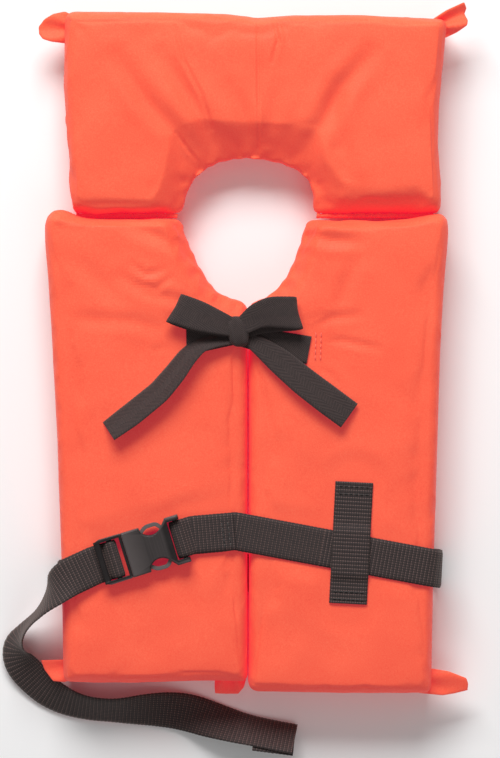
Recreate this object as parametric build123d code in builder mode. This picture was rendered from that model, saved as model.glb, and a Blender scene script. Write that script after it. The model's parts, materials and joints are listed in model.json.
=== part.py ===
"""Youth keyhole life jacket, lying flat with its outer face up.

Millimetres. +Z is up off the surface that the jacket lies on, +Y runs to the collar's top edge,
and the origin is under the middle of the jacket. Two front pads and a collar, each an outer and
an inner fabric cover over three foam slabs, meet at a sewn fold across the shoulders. A webbing
belt goes round the back and closes in front with a side-release buckle, and a tape bow ties the
two front pads together under the neck opening.
"""

import os
from math import atan2, cos, degrees, hypot, radians, sin, sqrt, tan

from build123d import *

os.makedirs("parts", exist_ok=True)

# ---------------------------------------------------------------- driving dimensions
PAD_THICKNESS = 40.0
SEAM_HEIGHT = PAD_THICKNESS / 2
COVER_WALL = 1.0
BOTTOM_ROUND = (6.0, 8.0)  # plan run and height of the rounded lower side
TOP_ROUND = (11.0, 12.0)  # plan run and height of the rounded upper side
FOAM_SLABS = {"inner": (3.7, 14.7), "middle": (15.0, 26.0), "outer": (26.3, 37.3)}
FOAM_CLEARANCE = 0.8
FOAM_SIDE_SPARE = 0.6  # more room at the foam's sides, for the rounded cover
FOAM_FOLD_SPARE = 2.0  # more room at the fold, where the cover tapers

FOLD_Y = 91.0  # the sewn fold across the shoulders
FRONT_EDGE_GAP = 5.0  # from the fold to the front pads' rounded edge
COLLAR_EDGE_GAP = 3.0  # from the fold to the collar's thin edge
COLLAR_TAPER = 35.0  # degrees, each side of the seam
BINDING_RADIUS = 2.0
BINDING_FIN = 1.2  # thickness of the flat edge that is sewn to the front pad

NECK_X = -3.5
GAP_X = -3.0
PAD_GAP = 1.5
NECK_BOTTOM_Y = 31.7
NECK_BACK_Y = 129.0

WEBBING_WIDTH = 25.0
WEBBING_THICKNESS = 1.6
TAPE_WIDTH = 19.0
TAPE_THICKNESS = 1.2
LAY = 0.3  # clearance between pieces that lie on one another

BUCKLE_ORIGIN = (-83.5, -135.4)  # where the plug's shoulder meets the socket's mouth
BUCKLE_ANGLE = 17.2
BUCKLE_UNDERSIDE = 40.6
BUCKLE_TOP = 50.6
ARM_SQUEEZE = 7.5  # degrees

BELT_Z = PAD_THICKNESS + LAY + WEBBING_THICKNESS / 2
TAIL_Z = BELT_Z + WEBBING_THICKNESS + LAY
UNDER_Z = LAY + WEBBING_THICKNESS / 2
FOLD_BACK_END = (-11.7, -119.3)
KEEPER_CENTRE = (65.5, -127.2)
KEEPER_LENGTH = 81.0
KEEPER_ANGLE = -3.0  # degrees, from the jacket's long axis
STITCH = (2.4, 0.55, 0.4)  # length, width and height of one stitch


def keep(piece, name):
    """Name a finished piece and write it to its own file."""
    piece.part.label = name
    export_step(piece.part, f"parts/{name}.step")


# ---------------------------------------------------------------- padded panels
REACH = 600  # larger than any plan outline


def side_inset(height):
    """How far the pad's side has come in from its widest outline at this height."""
    run, rise = BOTTOM_ROUND
    if height < rise:
        return run * (1 - sqrt(1 - ((rise - height) / rise) ** 2))
    run, rise = TOP_ROUND
    start = PAD_THICKNESS - rise
    if height > start:
        return run * (1 - sqrt(1 - min(1, (height - start) / rise) ** 2))
    return 0.0


def front_fold_limit(height, inset):
    """Y where a front pad ends at the fold: a half-round edge."""
    radius = PAD_THICKNESS / 2
    drop = radius - sqrt(max(0, radius**2 - (height - SEAM_HEIGHT) ** 2))
    return FOLD_Y - FRONT_EDGE_GAP - drop - inset


def collar_fold_limit(height, inset):
    """Y where the collar starts at the fold: a wedge that is thin at the seam."""
    run = abs(height - SEAM_HEIGHT) / tan(radians(COLLAR_TAPER))
    return FOLD_Y + COLLAR_EDGE_GAP + run + inset


def front_left_outline():
    """Plan of the left front pad at its seam, drawn past the fold."""
    with BuildSketch() as plan:
        with BuildLine():
            inner_x = GAP_X - PAD_GAP / 2
            Polyline(
                (inner_x, NECK_BOTTOM_Y),
                (inner_x, -221.5),
                (-125, -220.5),
                (-134.5, 30),
                (-137.8, 60),
                (-138.4, 110),
                (-47.5, 110),
            )
            ThreePointArc((-47.5, 110), (-38.2, 60), (inner_x, NECK_BOTTOM_Y))
        make_face()
    return plan.sketch


def front_right_outline():
    """Plan of the right front pad at its seam, drawn past the fold."""
    with BuildSketch() as plan:
        with BuildLine():
            inner_x = GAP_X + PAD_GAP / 2
            Polyline(
                (inner_x, NECK_BOTTOM_Y),
                (inner_x, -226.5),
                (118.5, -227.5),
                (125.5, 20),
                (129.0, 60),
                (129.6, 110),
                (40, 110),
            )
            ThreePointArc((40, 110), (29.5, 60), (inner_x, NECK_BOTTOM_Y))
        make_face()
    return plan.sketch


def collar_outline():
    """Plan of the collar at its seam, drawn past the fold."""
    half = 43.6
    with BuildSketch() as plan:
        with BuildLine():
            Polyline(
                (NECK_X - half, 78),
                (-120.5, 78),
                (-121.5, 130),
                (-125.5, 180),
                (-124.5, 226),
                (128.5, 222),
                (124.0, 160),
                (124.5, 78),
                (NECK_X + half, 78),
            )
            ThreePointArc((NECK_X - half, 78), (NECK_X, NECK_BACK_Y), (NECK_X + half, 78))
        make_face()
    return plan.sketch


def panel_section(panel, level, height, inset):
    """One level section of a panel: its outline drawn in, then cut at the fold."""
    outline, fold_limit, is_collar = PANELS[panel]
    limit = fold_limit(height, inset)
    centre_y = limit + REACH / 2 if is_collar else limit - REACH / 2
    with BuildSketch(Plane.XY.offset(level)) as section:
        add(outline)
        amount = side_inset(height) + inset
        if amount > 0:
            offset(amount=-amount, kind=Kind.INTERSECTION, mode=Mode.REPLACE)
        with Locations((0, centre_y)):
            Rectangle(REACH, REACH, mode=Mode.INTERSECT)
    return section.sketch


def half_levels(upper):
    """Heights of the sections through one cover, from the seam outwards."""
    if upper:
        return (20, 25, 29, 32, 35, 37.5, 39.2, 40)
    return (20, 15, 10, 6.5, 4, 2, 0.7, 0)


BACK_RUN = ((-150, -152.96), (150, -144.3))  # the belt's line under the back


def belt_channel(spare):
    """Plan of the shallow channel under the front pads that the back run of the belt lies in."""
    with BuildSketch(Plane.XY) as channel:
        with BuildLine():
            Line(*BACK_RUN)
        trace(line_width=WEBBING_WIDTH + 2 * LAY + 2 * spare)
    return channel.sketch


PANELS = {
    "front_left": (front_left_outline(), front_fold_limit, False),
    "front_right": (front_right_outline(), front_fold_limit, False),
    "collar": (collar_outline(), collar_fold_limit, True),
}
# sewn corner ears that stand out from the seam, each a small flat flap of cover fabric
LEFT_BOTTOM_EAR = (
    (-120, -203),
    (-136, -205),
    (-141.5, -208),
    (-139, -216),
    (-132.5, -219.5),
    (-120, -214),
)
RIGHT_BOTTOM_EAR = (
    (112, -211),
    (124, -212),
    (143.5, -220),
    (143.5, -226),
    (127, -230.5),
    (106, -227),
)
LEFT_COLLAR_EAR = ((-119, 221), (-139, 219), (-143.5, 214), (-141.5, 208), (-119, 205))
RIGHT_COLLAR_EAR = ((112, 216), (140.5, 231.0), (143.5, 225), (142.5, 218), (124, 206))
INNER_CORNER_FLAP = ((-26, -215), (-26, -224), (-20, -230.5), (-4.6, -230), (-4.6, -215))
EARS = {
    "front_left": (LEFT_BOTTOM_EAR, INNER_CORNER_FLAP),
    "front_right": (RIGHT_BOTTOM_EAR,),
    "collar": (LEFT_COLLAR_EAR, RIGHT_COLLAR_EAR),
}
EAR_THICKNESS = 2.0
CHANNEL_HEIGHT = UNDER_Z + WEBBING_THICKNESS / 2 + 2 * LAY

for panel, (outline, fold_limit, is_collar) in PANELS.items():
    for side in ("outer", "inner"):
        upper = side == "outer"
        scale_in = (SEAM_HEIGHT - COVER_WALL) / SEAM_HEIGHT
        with BuildPart() as hollow:
            sections = []
            for height in half_levels(upper):
                level = SEAM_HEIGHT + (height - SEAM_HEIGHT) * scale_in
                sections.append(panel_section(panel, level, height, COVER_WALL))
            loft(sections, ruled=True)
            if not upper and not is_collar:
                deeper = CHANNEL_HEIGHT + COVER_WALL
                extrude(belt_channel(COVER_WALL), amount=deeper, mode=Mode.SUBTRACT)
        with BuildPart() as cover:
            loft([panel_section(panel, h, h, 0) for h in half_levels(upper)], ruled=True)
            if upper:
                for flap in EARS[panel]:
                    with BuildSketch(Plane.XY.offset(SEAM_HEIGHT)):
                        with BuildLine():
                            Polyline(*flap, close=True)
                        make_face()
                    extrude(amount=EAR_THICKNESS)
            add(hollow.part, mode=Mode.SUBTRACT)
            if not upper and not is_collar:
                extrude(belt_channel(0), amount=CHANNEL_HEIGHT, mode=Mode.SUBTRACT)
        keep(cover, f"{panel}_{side}_cover")

    for slab, (low, high) in FOAM_SLABS.items():
        worst = max((low, high), key=side_inset)
        fold_worst = max((low, high), key=lambda h: abs(h - SEAM_HEIGHT))
        inset = COVER_WALL + FOAM_CLEARANCE
        limit = fold_limit(fold_worst, inset + FOAM_FOLD_SPARE)
        centre_y = limit + REACH / 2 if is_collar else limit - REACH / 2
        with BuildPart() as foam:
            with BuildSketch(Plane.XY.offset(low)):
                add(outline)
                offset(
                    amount=-(side_inset(worst) + inset + FOAM_SIDE_SPARE),
                    kind=Kind.INTERSECTION,
                    mode=Mode.REPLACE,
                )
                with Locations((0, centre_y)):
                    Rectangle(REACH, REACH, mode=Mode.INTERSECT)
            extrude(amount=high - low)
        keep(foam, f"{panel}_foam_{slab}")

# ---------------------------------------------------------------- fold bindings
FOLD_SPANS = {"left": (-118, -50), "right": (43, 121)}
for side, (start, end) in FOLD_SPANS.items():
    with BuildPart() as binding:
        with BuildSketch(Plane.YZ.offset(start)):
            with Locations((FOLD_Y, SEAM_HEIGHT)):
                Circle(BINDING_RADIUS)
            with Locations((FOLD_Y - BINDING_RADIUS, SEAM_HEIGHT)):
                Rectangle(FRONT_EDGE_GAP - LAY, BINDING_FIN)
        extrude(amount=end - start)
    keep(binding, f"fold_binding_{side}")


# ---------------------------------------------------------------- webbing ribbons
def ribbon_planes(points, headings):
    """Section planes of a flat ribbon: along the route, and across it level at each heading."""
    planes = []
    for i, point in enumerate(points):
        before = Vector(*points[max(i - 1, 0)])
        after = Vector(*points[min(i + 1, len(points) - 1)])
        here = Vector(*point)
        along = Vector(0, 0, 0)
        if i > 0:
            along += (here - before).normalized()
        if i < len(points) - 1:
            along += (after - here).normalized()
        across = (-sin(radians(headings[i])), cos(radians(headings[i])), 0)
        planes.append(Plane(origin=here, x_dir=across, z_dir=along.normalized()))
    return planes


def ribbon_sections(planes, width, thickness):
    """Rectangles on these planes, to loft a ribbon through."""
    sections = []
    for plane in planes:
        with BuildSketch(plane) as section:
            Rectangle(width, thickness)
        sections.append(section.sketch)
    return sections


def on_buckle(u, z, v=0.0):
    """A point given along the buckle's length, across it, and up."""
    a = radians(BUCKLE_ANGLE)
    x = BUCKLE_ORIGIN[0] + u * cos(a) - v * sin(a)
    y = BUCKLE_ORIGIN[1] + u * sin(a) + v * cos(a)
    return (x, y, z)


def turn_points(centre_u, centre_z, radius, start, end, count):
    """Points round an upright arc in the buckle's long section, angles in degrees."""
    step = (end - start) / (count - 1)
    return [
        on_buckle(
            centre_u + radius * cos(radians(start + k * step)),
            centre_z + radius * sin(radians(start + k * step)),
        )
        for k in range(count)
    ]


BAR_Z = 44.1
LADDER_TURN = (-7.9, 3.0)  # where the belt turns over the plug's middle bar: position, radius
SOCKET_TURN = (37.2, 3.0)  # where the belt turns round the socket's end bar
RUN_HEADING = -10.6  # the belt's run from the fold-back to the right edge, degrees
FOLD_BACK_HEADING = 8.0
JOIN_X = 46.0


def on_right_run(x):
    """Y of the belt's right run at this X."""
    return FOLD_BACK_END[1] + (x - FOLD_BACK_END[0]) * tan(radians(RUN_HEADING))


# the long stretch: from beside the keeper, over the right edge, under the back, up the left
# edge, under the plug's bars, and over the middle bar
belt_route = [(JOIN_X, on_right_run(JOIN_X), BELT_Z, RUN_HEADING)]
belt_route += [(x, on_right_run(x), z, RUN_HEADING) for x, z in ((108, BELT_Z), (116, 40.9))]
belt_route += [
    (121.6, -144.2, 38.6, -8),
    (124.7, -144.8, 34.0, -6),
    (125.7, -145.0, 28.0, -3),
    (125.3, -145.0, 12.0, 0),
    (123.6, -145.0, 4.0, 1.7),
    (120.6, -145.1, 1.3, 1.7),
    (116.0, -145.3, UNDER_Z, 1.7),
    (-120.0, -152.1, UNDER_Z, 1.7),
    (-126.4, -152.25, 1.25, 1.7),
    (-128.9, -152.3, 4.0, 2.2),
    (-129.2, -152.4, 9.0, 2.2),
    (-129.2, -152.8, 28.0, 2.2),
    (-128.7, -152.7, 33.2, 3),
    (-127.2, -152.1, 36.9, 6),
    (-125.0, -151.2, 39.2, 9),
    (-121.8, -149.8, 41.1, 13),
    (-117.0, -147.6, 41.6, 18),
    (-112.0, -145.3, 41.3, 22),
]
ladder_in = [
    (*on_buckle(-22, BELT_Z), 21),
    (*on_buckle(-16, BELT_Z), BUCKLE_ANGLE),
    (*on_buckle(LADDER_TURN[0] - 0.6, BELT_Z), BUCKLE_ANGLE),
]
ladder_turn = [
    (*p, BUCKLE_ANGLE) for p in turn_points(LADDER_TURN[0], BAR_Z, LADDER_TURN[1], -90, 90, 9)
]
ladder_out = [
    (*on_buckle(-9.3, BAR_Z + LADDER_TURN[1]), BUCKLE_ANGLE),
    (*on_buckle(-10.8, 46.6), BUCKLE_ANGLE),
    (*on_buckle(-12.0, 45.3), BUCKLE_ANGLE),
    (*on_buckle(-13.0, 44.2), BUCKLE_ANGLE),
]
whole_route = belt_route + ladder_in + ladder_turn + ladder_out
with BuildPart() as belt_webbing:
    planes = ribbon_planes([p[:3] for p in whole_route], [p[3] for p in whole_route])
    loft(ribbon_sections(planes, WEBBING_WIDTH, WEBBING_THICKNESS), ruled=True)
keep(belt_webbing, "belt_webbing")

# the end stretch: along to the socket, round its end bar, and sewn back on itself
over_z = BELT_Z + WEBBING_THICKNESS + 0.1
end_turn_points = turn_points(SOCKET_TURN[0], BAR_Z, SOCKET_TURN[1], -90, -270, 9)
socket_route = [
    (JOIN_X, on_right_run(JOIN_X), BELT_Z, RUN_HEADING),
    (FOLD_BACK_END[0] + 9, on_right_run(FOLD_BACK_END[0] + 9), BELT_Z, RUN_HEADING),
    (*FOLD_BACK_END, BELT_Z, -1.5),
    (
        FOLD_BACK_END[0] - 9,
        FOLD_BACK_END[1] - 9 * tan(radians(FOLD_BACK_HEADING)),
        BELT_Z,
        FOLD_BACK_HEADING,
    ),
    (*on_buckle(44, BELT_Z), 12),
]
socket_route += [(*p, BUCKLE_ANGLE) for p in end_turn_points]
socket_route += [
    (*on_buckle(39.5, 46.6), BUCKLE_ANGLE),
    (*on_buckle(43.0, 43.9), 13),
    (*on_buckle(46.5, over_z), FOLD_BACK_HEADING),
    (FOLD_BACK_END[0] - 0.5, FOLD_BACK_END[1] - 0.07, over_z, FOLD_BACK_HEADING),
]
with BuildPart() as belt_socket_loop:
    planes = ribbon_planes([p[:3] for p in socket_route], [p[3] for p in socket_route])
    loft(ribbon_sections(planes, WEBBING_WIDTH, WEBBING_THICKNESS), ruled=True)
keep(belt_socket_loop, "belt_socket_loop")

# ---------------------------------------------------------------- free tail of the belt
# control points of the route: X, Y, Z, and how far the ribbon has rolled on its edge (degrees)
TAIL_ROUTE = [
    (*on_buckle(-14.0, 43.4), 0),
    (*on_buckle(-22.5, 43.2), 0),
    (-112.5, -145.8, 43.8, 0),
    (-125.5, -152.0, 44.0, 10),
    (-135.5, -163.5, 38.5, 66),
    (-144.5, -175.5, 27.0, 84),
    (-153.5, -186.5, 17.4, 78),
    (-159.5, -196.5, 13.8, 52),
    (-157.0, -207.5, 11.0, 28),
    (-148.6, -217.9, 8.4, 24),
    (-135.0, -230.3, 8.6, 34),
    (-115.5, -238.6, 10.6, 48),
    (-93.0, -241.0, 11.2, 50),
    (-67.0, -239.8, 6.8, 26),
    (-46.0, -241.5, 3.0, 4),
    (-24.0, -248.3, 6.6, -26),
    (-2.0, -254.2, 10.6, -42),
    (28.3, -259.7, 11.9, -42),
]


def corner_radii(points):
    """The largest even arc for each corner: 0.45 of the shorter run over tan(half turn)."""
    radii = []
    for before, here, after in zip(points, points[1:], points[2:]):
        first = Vector(*here) - Vector(*before)
        second = Vector(*after) - Vector(*here)
        half_turn = radians(first.get_angle(second)) / 2
        radii.append(0.45 * min(first.length, second.length) / tan(half_turn))
    return radii


tail_points = [p[:3] for p in TAIL_ROUTE]
tail_radii = corner_radii(tail_points)
with BuildLine() as tail_line:
    FilletPolyline(*tail_points, radius=tail_radii)
tail_path = tail_line.wires()[0]
tail_length = tail_path.length

# distance along the route of each control point, to roll the ribbon between them
run_lengths = [0.0]
for a, b in zip(tail_points, tail_points[1:]):
    run_lengths.append(run_lengths[-1] + (Vector(*b) - Vector(*a)).length)


def roll_at(fraction):
    """Roll of the ribbon at this fraction of its length, degrees."""
    place = fraction * run_lengths[-1]
    for k in range(len(run_lengths) - 1):
        if place <= run_lengths[k + 1]:
            share = (place - run_lengths[k]) / (run_lengths[k + 1] - run_lengths[k])
            return TAIL_ROUTE[k][3] * (1 - share) + TAIL_ROUTE[k + 1][3] * share
    return TAIL_ROUTE[-1][3]


TAIL_SECTIONS = 64
with BuildPart() as belt_tail:
    for k in range(TAIL_SECTIONS + 1):
        share = k / TAIL_SECTIONS
        along = tail_path.tangent_at(share)
        level_across = Vector(-along.Y, along.X, 0).normalized()
        rolled = level_across.rotate(Axis((0, 0, 0), (along.X, along.Y, along.Z)), roll_at(share))
        with BuildSketch(Plane(origin=tail_path.position_at(share), x_dir=rolled, z_dir=along)):
            Rectangle(WEBBING_WIDTH, WEBBING_THICKNESS)
    loft(ruled=True)
keep(belt_tail, "belt_tail")
section_volume = WEBBING_WIDTH * WEBBING_THICKNESS * tail_length
print(f"belt tail {tail_length:.1f} mm, volume {belt_tail.part.volume:.0f} of {section_volume:.0f}")
print("belt tail radii", [round(r, 1) for r in tail_radii])

# hem turned under at the tail's end, a little askew so that one edge shows
HEM_LENGTH = 28.0
HEM_SKEW = 4.0  # degrees
HEM_DROP = WEBBING_THICKNESS + 1.5 * LAY
end_forward = (Vector(*tail_points[-1]) - Vector(*tail_points[-2])).normalized()
end_roll = Axis((0, 0, 0), (end_forward.X, end_forward.Y, end_forward.Z))
end_across = Vector(-end_forward.Y, end_forward.X, 0).normalized().rotate(end_roll, TAIL_ROUTE[-1][3])
end_normal = end_forward.cross(end_across)
hem_plane = Plane(
    origin=Vector(*tail_points[-1]) - end_normal * HEM_DROP,
    x_dir=end_forward,
    z_dir=end_normal,
).rotated((0, 0, HEM_SKEW))
with BuildPart() as belt_tail_hem:
    with BuildSketch(hem_plane.offset(-WEBBING_THICKNESS / 2)):
        with Locations((-HEM_LENGTH / 2, 0)):
            Rectangle(HEM_LENGTH, WEBBING_WIDTH)
    extrude(amount=WEBBING_THICKNESS)
keep(belt_tail_hem, "belt_tail_hem")

# ---------------------------------------------------------------- keeper on the right pad
KEEPER_UP = (-11.5, -8.0)  # along the keeper, where it steps up on to the belt
KEEPER_DOWN = (21.0, 24.5)  # and where it steps down again
KEEPER_STEP_SPREAD = 0.7  # the upper face turns this much further out than the lower
rise = WEBBING_THICKNESS + LAY + 0.2
keeper_low = PAD_THICKNESS + 0.1
with BuildPart() as belt_keeper:
    # the section runs down the pad and steps up over the belt
    profile = Plane(
        origin=(*KEEPER_CENTRE, 0),
        x_dir=(sin(radians(KEEPER_ANGLE)), -cos(radians(KEEPER_ANGLE)), 0),
        z_dir=(-cos(radians(KEEPER_ANGLE)), -sin(radians(KEEPER_ANGLE)), 0),
    )
    with BuildSketch(profile):
        with BuildLine():
            half = KEEPER_LENGTH / 2
            Polyline(
                (-half, keeper_low),
                (KEEPER_UP[0], keeper_low),
                (KEEPER_UP[1], keeper_low + rise),
                (KEEPER_DOWN[0], keeper_low + rise),
                (KEEPER_DOWN[1], keeper_low),
                (half, keeper_low),
                (half, keeper_low + WEBBING_THICKNESS),
                (KEEPER_DOWN[1] + KEEPER_STEP_SPREAD, keeper_low + WEBBING_THICKNESS),
                (KEEPER_DOWN[0] + KEEPER_STEP_SPREAD, keeper_low + rise + WEBBING_THICKNESS),
                (KEEPER_UP[1] - KEEPER_STEP_SPREAD, keeper_low + rise + WEBBING_THICKNESS),
                (KEEPER_UP[0] - KEEPER_STEP_SPREAD, keeper_low + WEBBING_THICKNESS),
                (-half, keeper_low + WEBBING_THICKNESS),
                close=True,
            )
        make_face()
    extrude(amount=WEBBING_WIDTH / 2, both=True)
keep(belt_keeper, "belt_keeper")

# ---------------------------------------------------------------- side-release buckle
def buckle_plane(z):
    """A level plane with its X along the buckle."""
    a = radians(BUCKLE_ANGLE)
    return Plane(origin=(*BUCKLE_ORIGIN, z), x_dir=(cos(a), sin(a), 0), z_dir=(0, 0, 1))


def buckle_long_section(v):
    """An upright plane along the buckle at this offset, with Y up."""
    a = radians(BUCKLE_ANGLE)
    return Plane(origin=on_buckle(0, 0, v), x_dir=(cos(a), sin(a), 0), z_dir=(sin(a), -cos(a), 0))


LADDER_HALF_WIDTH = 15.5
SLOT_HALF_WIDTH = 13.1
LADDER_LENGTH = 19.0
RAIL_LOW, RAIL_HIGH = 40.9, 48.3
RAIL_CORNER = 1.5  # cut off each end corner of the ladder
THROUGH = 1.0  # how far a cutter passes each face that it opens
END_BAR = ((-16.9, 46.3), (4.2, 3.4), 1.0)  # centre, size and corner of the bar's section
MIDDLE_BAR = ((-8.6, BAR_Z), (3.6, 3.0), 1.2)
SHOULDER_PLATE = ((-0.9, 45.4), (1.8, 5.8))  # centre and size of its section
with BuildPart() as buckle_plug:
    with BuildSketch(buckle_plane(RAIL_LOW)):
        with BuildLine():
            FilletPolyline(
                (-LADDER_LENGTH, -LADDER_HALF_WIDTH + RAIL_CORNER),
                (-LADDER_LENGTH + 4, -LADDER_HALF_WIDTH),
                (0, -LADDER_HALF_WIDTH + 0.2),
                (0, LADDER_HALF_WIDTH - 0.2),
                (-LADDER_LENGTH + 4, LADDER_HALF_WIDTH),
                (-LADDER_LENGTH, LADDER_HALF_WIDTH - RAIL_CORNER),
                radius=0.8,
                close=True,
            )
        make_face()
    extrude(amount=RAIL_HIGH - RAIL_LOW)
    # the way through for the webbing, then the bars put back across it
    with BuildSketch(buckle_plane(RAIL_LOW - THROUGH)):
        with Locations((-LADDER_LENGTH / 2 - 2.8, 0)):
            Rectangle(LADDER_LENGTH + 2.8, 2 * SLOT_HALF_WIDTH)
    extrude(amount=RAIL_HIGH - RAIL_LOW + 2 * THROUGH, mode=Mode.SUBTRACT)
    with BuildSketch(buckle_long_section(0)):
        for centre, size, corner in (END_BAR, MIDDLE_BAR):
            with Locations(centre):
                RectangleRounded(*size, corner)
    extrude(amount=LADDER_HALF_WIDTH - THROUGH, both=True)
    # the shoulder plate stands over the incoming belt
    with BuildSketch(buckle_long_section(0)):
        with Locations(SHOULDER_PLATE[0]):
            Rectangle(*SHOULDER_PLATE[1])
    extrude(amount=SLOT_HALF_WIDTH + 0.5, both=True)
keep(buckle_plug, "buckle_plug")

MOUTH_HALF_WIDTH = 15.3
CAVITY_HALF_WIDTH = 13.4
CAVITY = (43.0, 48.2)
SLEEVE_LENGTH = 12.5
EAR_HALF_WIDTH = 16.3
EAR_END = 40.0
SOCKET_START = 0.3
TOP_CHAMFER = 0.8
END_SLOT = (31.7, 41.7)  # along the buckle, from the body to past the end ears
END_BAR_RADIUS = 1.7


def socket_side(sign):
    """One side of the socket's outline from mouth to end ear, with its hollow waist."""
    Line((SOCKET_START, sign * MOUTH_HALF_WIDTH), (SLEEVE_LENGTH, sign * (MOUTH_HALF_WIDTH - 0.1)))
    Line((SLEEVE_LENGTH, sign * (MOUTH_HALF_WIDTH - 0.1)), (13.2, sign * 12.2))
    ThreePointArc((13.2, sign * 12.2), (18.5, sign * 8.4), (25.6, sign * 10.2))
    ThreePointArc((25.6, sign * 10.2), (28.6, sign * 13.4), (31.0, sign * EAR_HALF_WIDTH))
    Line((31.0, sign * EAR_HALF_WIDTH), (EAR_END, sign * EAR_HALF_WIDTH))


with BuildPart() as buckle_socket:
    with BuildSketch(buckle_plane(BUCKLE_UNDERSIDE)):
        with BuildLine():
            socket_side(1)
            Line((EAR_END, EAR_HALF_WIDTH), (EAR_END, -EAR_HALF_WIDTH))
            socket_side(-1)
            Line((SOCKET_START, -MOUTH_HALF_WIDTH), (SOCKET_START, MOUTH_HALF_WIDTH))
        make_face()
    extrude(amount=BUCKLE_TOP - BUCKLE_UNDERSIDE)
    chamfer(buckle_socket.faces().sort_by(Axis.Z)[-1].edges(), length=TOP_CHAMFER)
    # hollow for the arms, open at the mouth and at both sides of the waist
    with BuildSketch(buckle_plane(CAVITY[0])):
        with Locations((15, 0)):
            Rectangle(30, 2 * CAVITY_HALF_WIDTH)
    extrude(amount=CAVITY[1] - CAVITY[0], mode=Mode.SUBTRACT)
    # the way through for the webbing at the end bar
    with BuildSketch(buckle_plane(BUCKLE_UNDERSIDE - THROUGH)):
        with Locations((sum(END_SLOT) / 2, 0)):
            Rectangle(END_SLOT[1] - END_SLOT[0], 2 * SLOT_HALF_WIDTH)
    extrude(amount=BUCKLE_TOP - BUCKLE_UNDERSIDE + 2 * THROUGH, mode=Mode.SUBTRACT)
    with BuildSketch(buckle_long_section(0)):
        with Locations((SOCKET_TURN[0], BAR_Z)):
            Circle(END_BAR_RADIUS)
    extrude(amount=EAR_HALF_WIDTH - THROUGH, both=True)
keep(buckle_socket, "buckle_socket")

ARM_WIDTH = 2.6
ARM_ROOT = (0.4, 8.6)
for name, sign in (("release_arm_upper", 1), ("release_arm_lower", -1)):
    with BuildPart() as arm:
        with BuildSketch(buckle_plane(CAVITY[0] + LAY)):
            with BuildLine():
                FilletPolyline(
                    (ARM_ROOT[0], sign * ARM_ROOT[1]),
                    (12.6, sign * 11.2),
                    (17.2, sign * 14.5),
                    (24.4, sign * 14.6),
                    (28.4, sign * 9.6),
                    radius=(6, 6, 4),
                )
            trace(line_width=ARM_WIDTH)
        extrude(amount=CAVITY[1] - CAVITY[0] - 2 * LAY)
    keep(arm, name)

# ---------------------------------------------------------------- neck tie, tied in a bow
KNOT = (-9.7, 9.7)
KNOT_SIZE = (13.0, 15.0)
ANCHOR_Z = PAD_THICKNESS + LAY
TIE_TAIL_Z = ANCHOR_Z + TAPE_THICKNESS + LAY
LOOP_Z = TIE_TAIL_Z + TAPE_THICKNESS + LAY
KNOT_TOP = 51.0
KNOT_ROUND = (4.0, 3.0)  # plan corners and upper edge
with BuildPart() as tie_knot:
    with BuildSketch(Plane.XY.offset(TIE_TAIL_Z)):
        with Locations(KNOT):
            RectangleRounded(*KNOT_SIZE, KNOT_ROUND[0])
    extrude(amount=KNOT_TOP - TIE_TAIL_Z)
    fillet(tie_knot.faces().sort_by(Axis.Z)[-1].edges(), radius=KNOT_ROUND[1])
keep(tie_knot, "tie_knot")

ANCHORS = {"left": ((-44.0, 6.5), (-12.0, 9.0)), "right": ((-8.5, 8.5), (37.6, 1.0))}
for side, ends in ANCHORS.items():
    with BuildPart() as anchor:
        with BuildSketch(Plane.XY.offset(ANCHOR_Z)):
            with BuildLine():
                Line(*ends)
            trace(line_width=TAPE_WIDTH)
        extrude(amount=TAPE_THICKNESS)
    keep(anchor, f"tie_anchor_{side}")

TIE_TAILS = {
    "left": ((-16.9, 9.0), (-37.0, 5.5), (-58.0, -21.0), (-95.7, -53.0)),
    "right": ((-2.4, 5.0), (18.3, -7.0), (38.0, -22.5), (64.3, -42.3)),
}
TIE_BEND = 24.0  # the largest bend radius of a tie tail
for side, route in TIE_TAILS.items():
    radii = [min(TIE_BEND, r) for r in corner_radii([(x, y, 0) for x, y in route])]
    with BuildPart() as tie_tail:
        with BuildSketch(Plane.XY.offset(TIE_TAIL_Z)):
            with BuildLine():
                FilletPolyline(*route, radius=radii)
            trace(line_width=TAPE_WIDTH)
        extrude(amount=TAPE_THICKNESS)
    keep(tie_tail, f"tie_tail_{side}")

LOOP_TOP_Z = 50.0
LOOP_START = 8.2  # from the knot's centre to where a loop leaves it
LOOP_ROUND = 2.9
LOOPS = {"left": (162.0, 47.0), "right": (19.4, 44.0)}
for side, (heading, reach) in LOOPS.items():
    a = radians(heading)
    loop_plane = Plane(
        origin=(*KNOT, 0), x_dir=(cos(a), sin(a), 0), z_dir=(sin(a), -cos(a), 0)
    )
    with BuildPart() as loop:
        with BuildSketch(loop_plane):
            with BuildLine():
                FilletPolyline(
                    (LOOP_START, LOOP_Z + TAPE_THICKNESS / 2),
                    (reach, LOOP_Z + TAPE_THICKNESS / 2),
                    (reach, LOOP_TOP_Z),
                    (LOOP_START, LOOP_TOP_Z),
                    radius=LOOP_ROUND,
                )
            trace(line_width=TAPE_THICKNESS)
        extrude(amount=TAPE_WIDTH / 2, both=True)
    keep(loop, f"tie_loop_{side}")


# ---------------------------------------------------------------- stitching
ROW_HALF = 10.5  # half the length of a row of stitches across the webbing
STITCH_PITCH = 3.0


def stitch_rows(plane, rows):
    """Plan of rows of separate stitches on a plane; each row is a start, an end and a pitch."""
    stitches = []
    for start, end, pitch in rows:
        length = hypot(end[0] - start[0], end[1] - start[1])
        heading = degrees(atan2(end[1] - start[1], end[0] - start[0]))
        count = int(length // pitch)
        for k in range(count):
            share = (k + 0.5) / count
            place = (
                start[0] + (end[0] - start[0]) * share,
                start[1] + (end[1] - start[1]) * share,
            )
            with BuildSketch(plane) as stitch:
                with Locations(place):
                    SlotOverall(STITCH[0], STITCH[1], rotation=heading)
            stitches.append(stitch.sketch)
    return stitches


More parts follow.
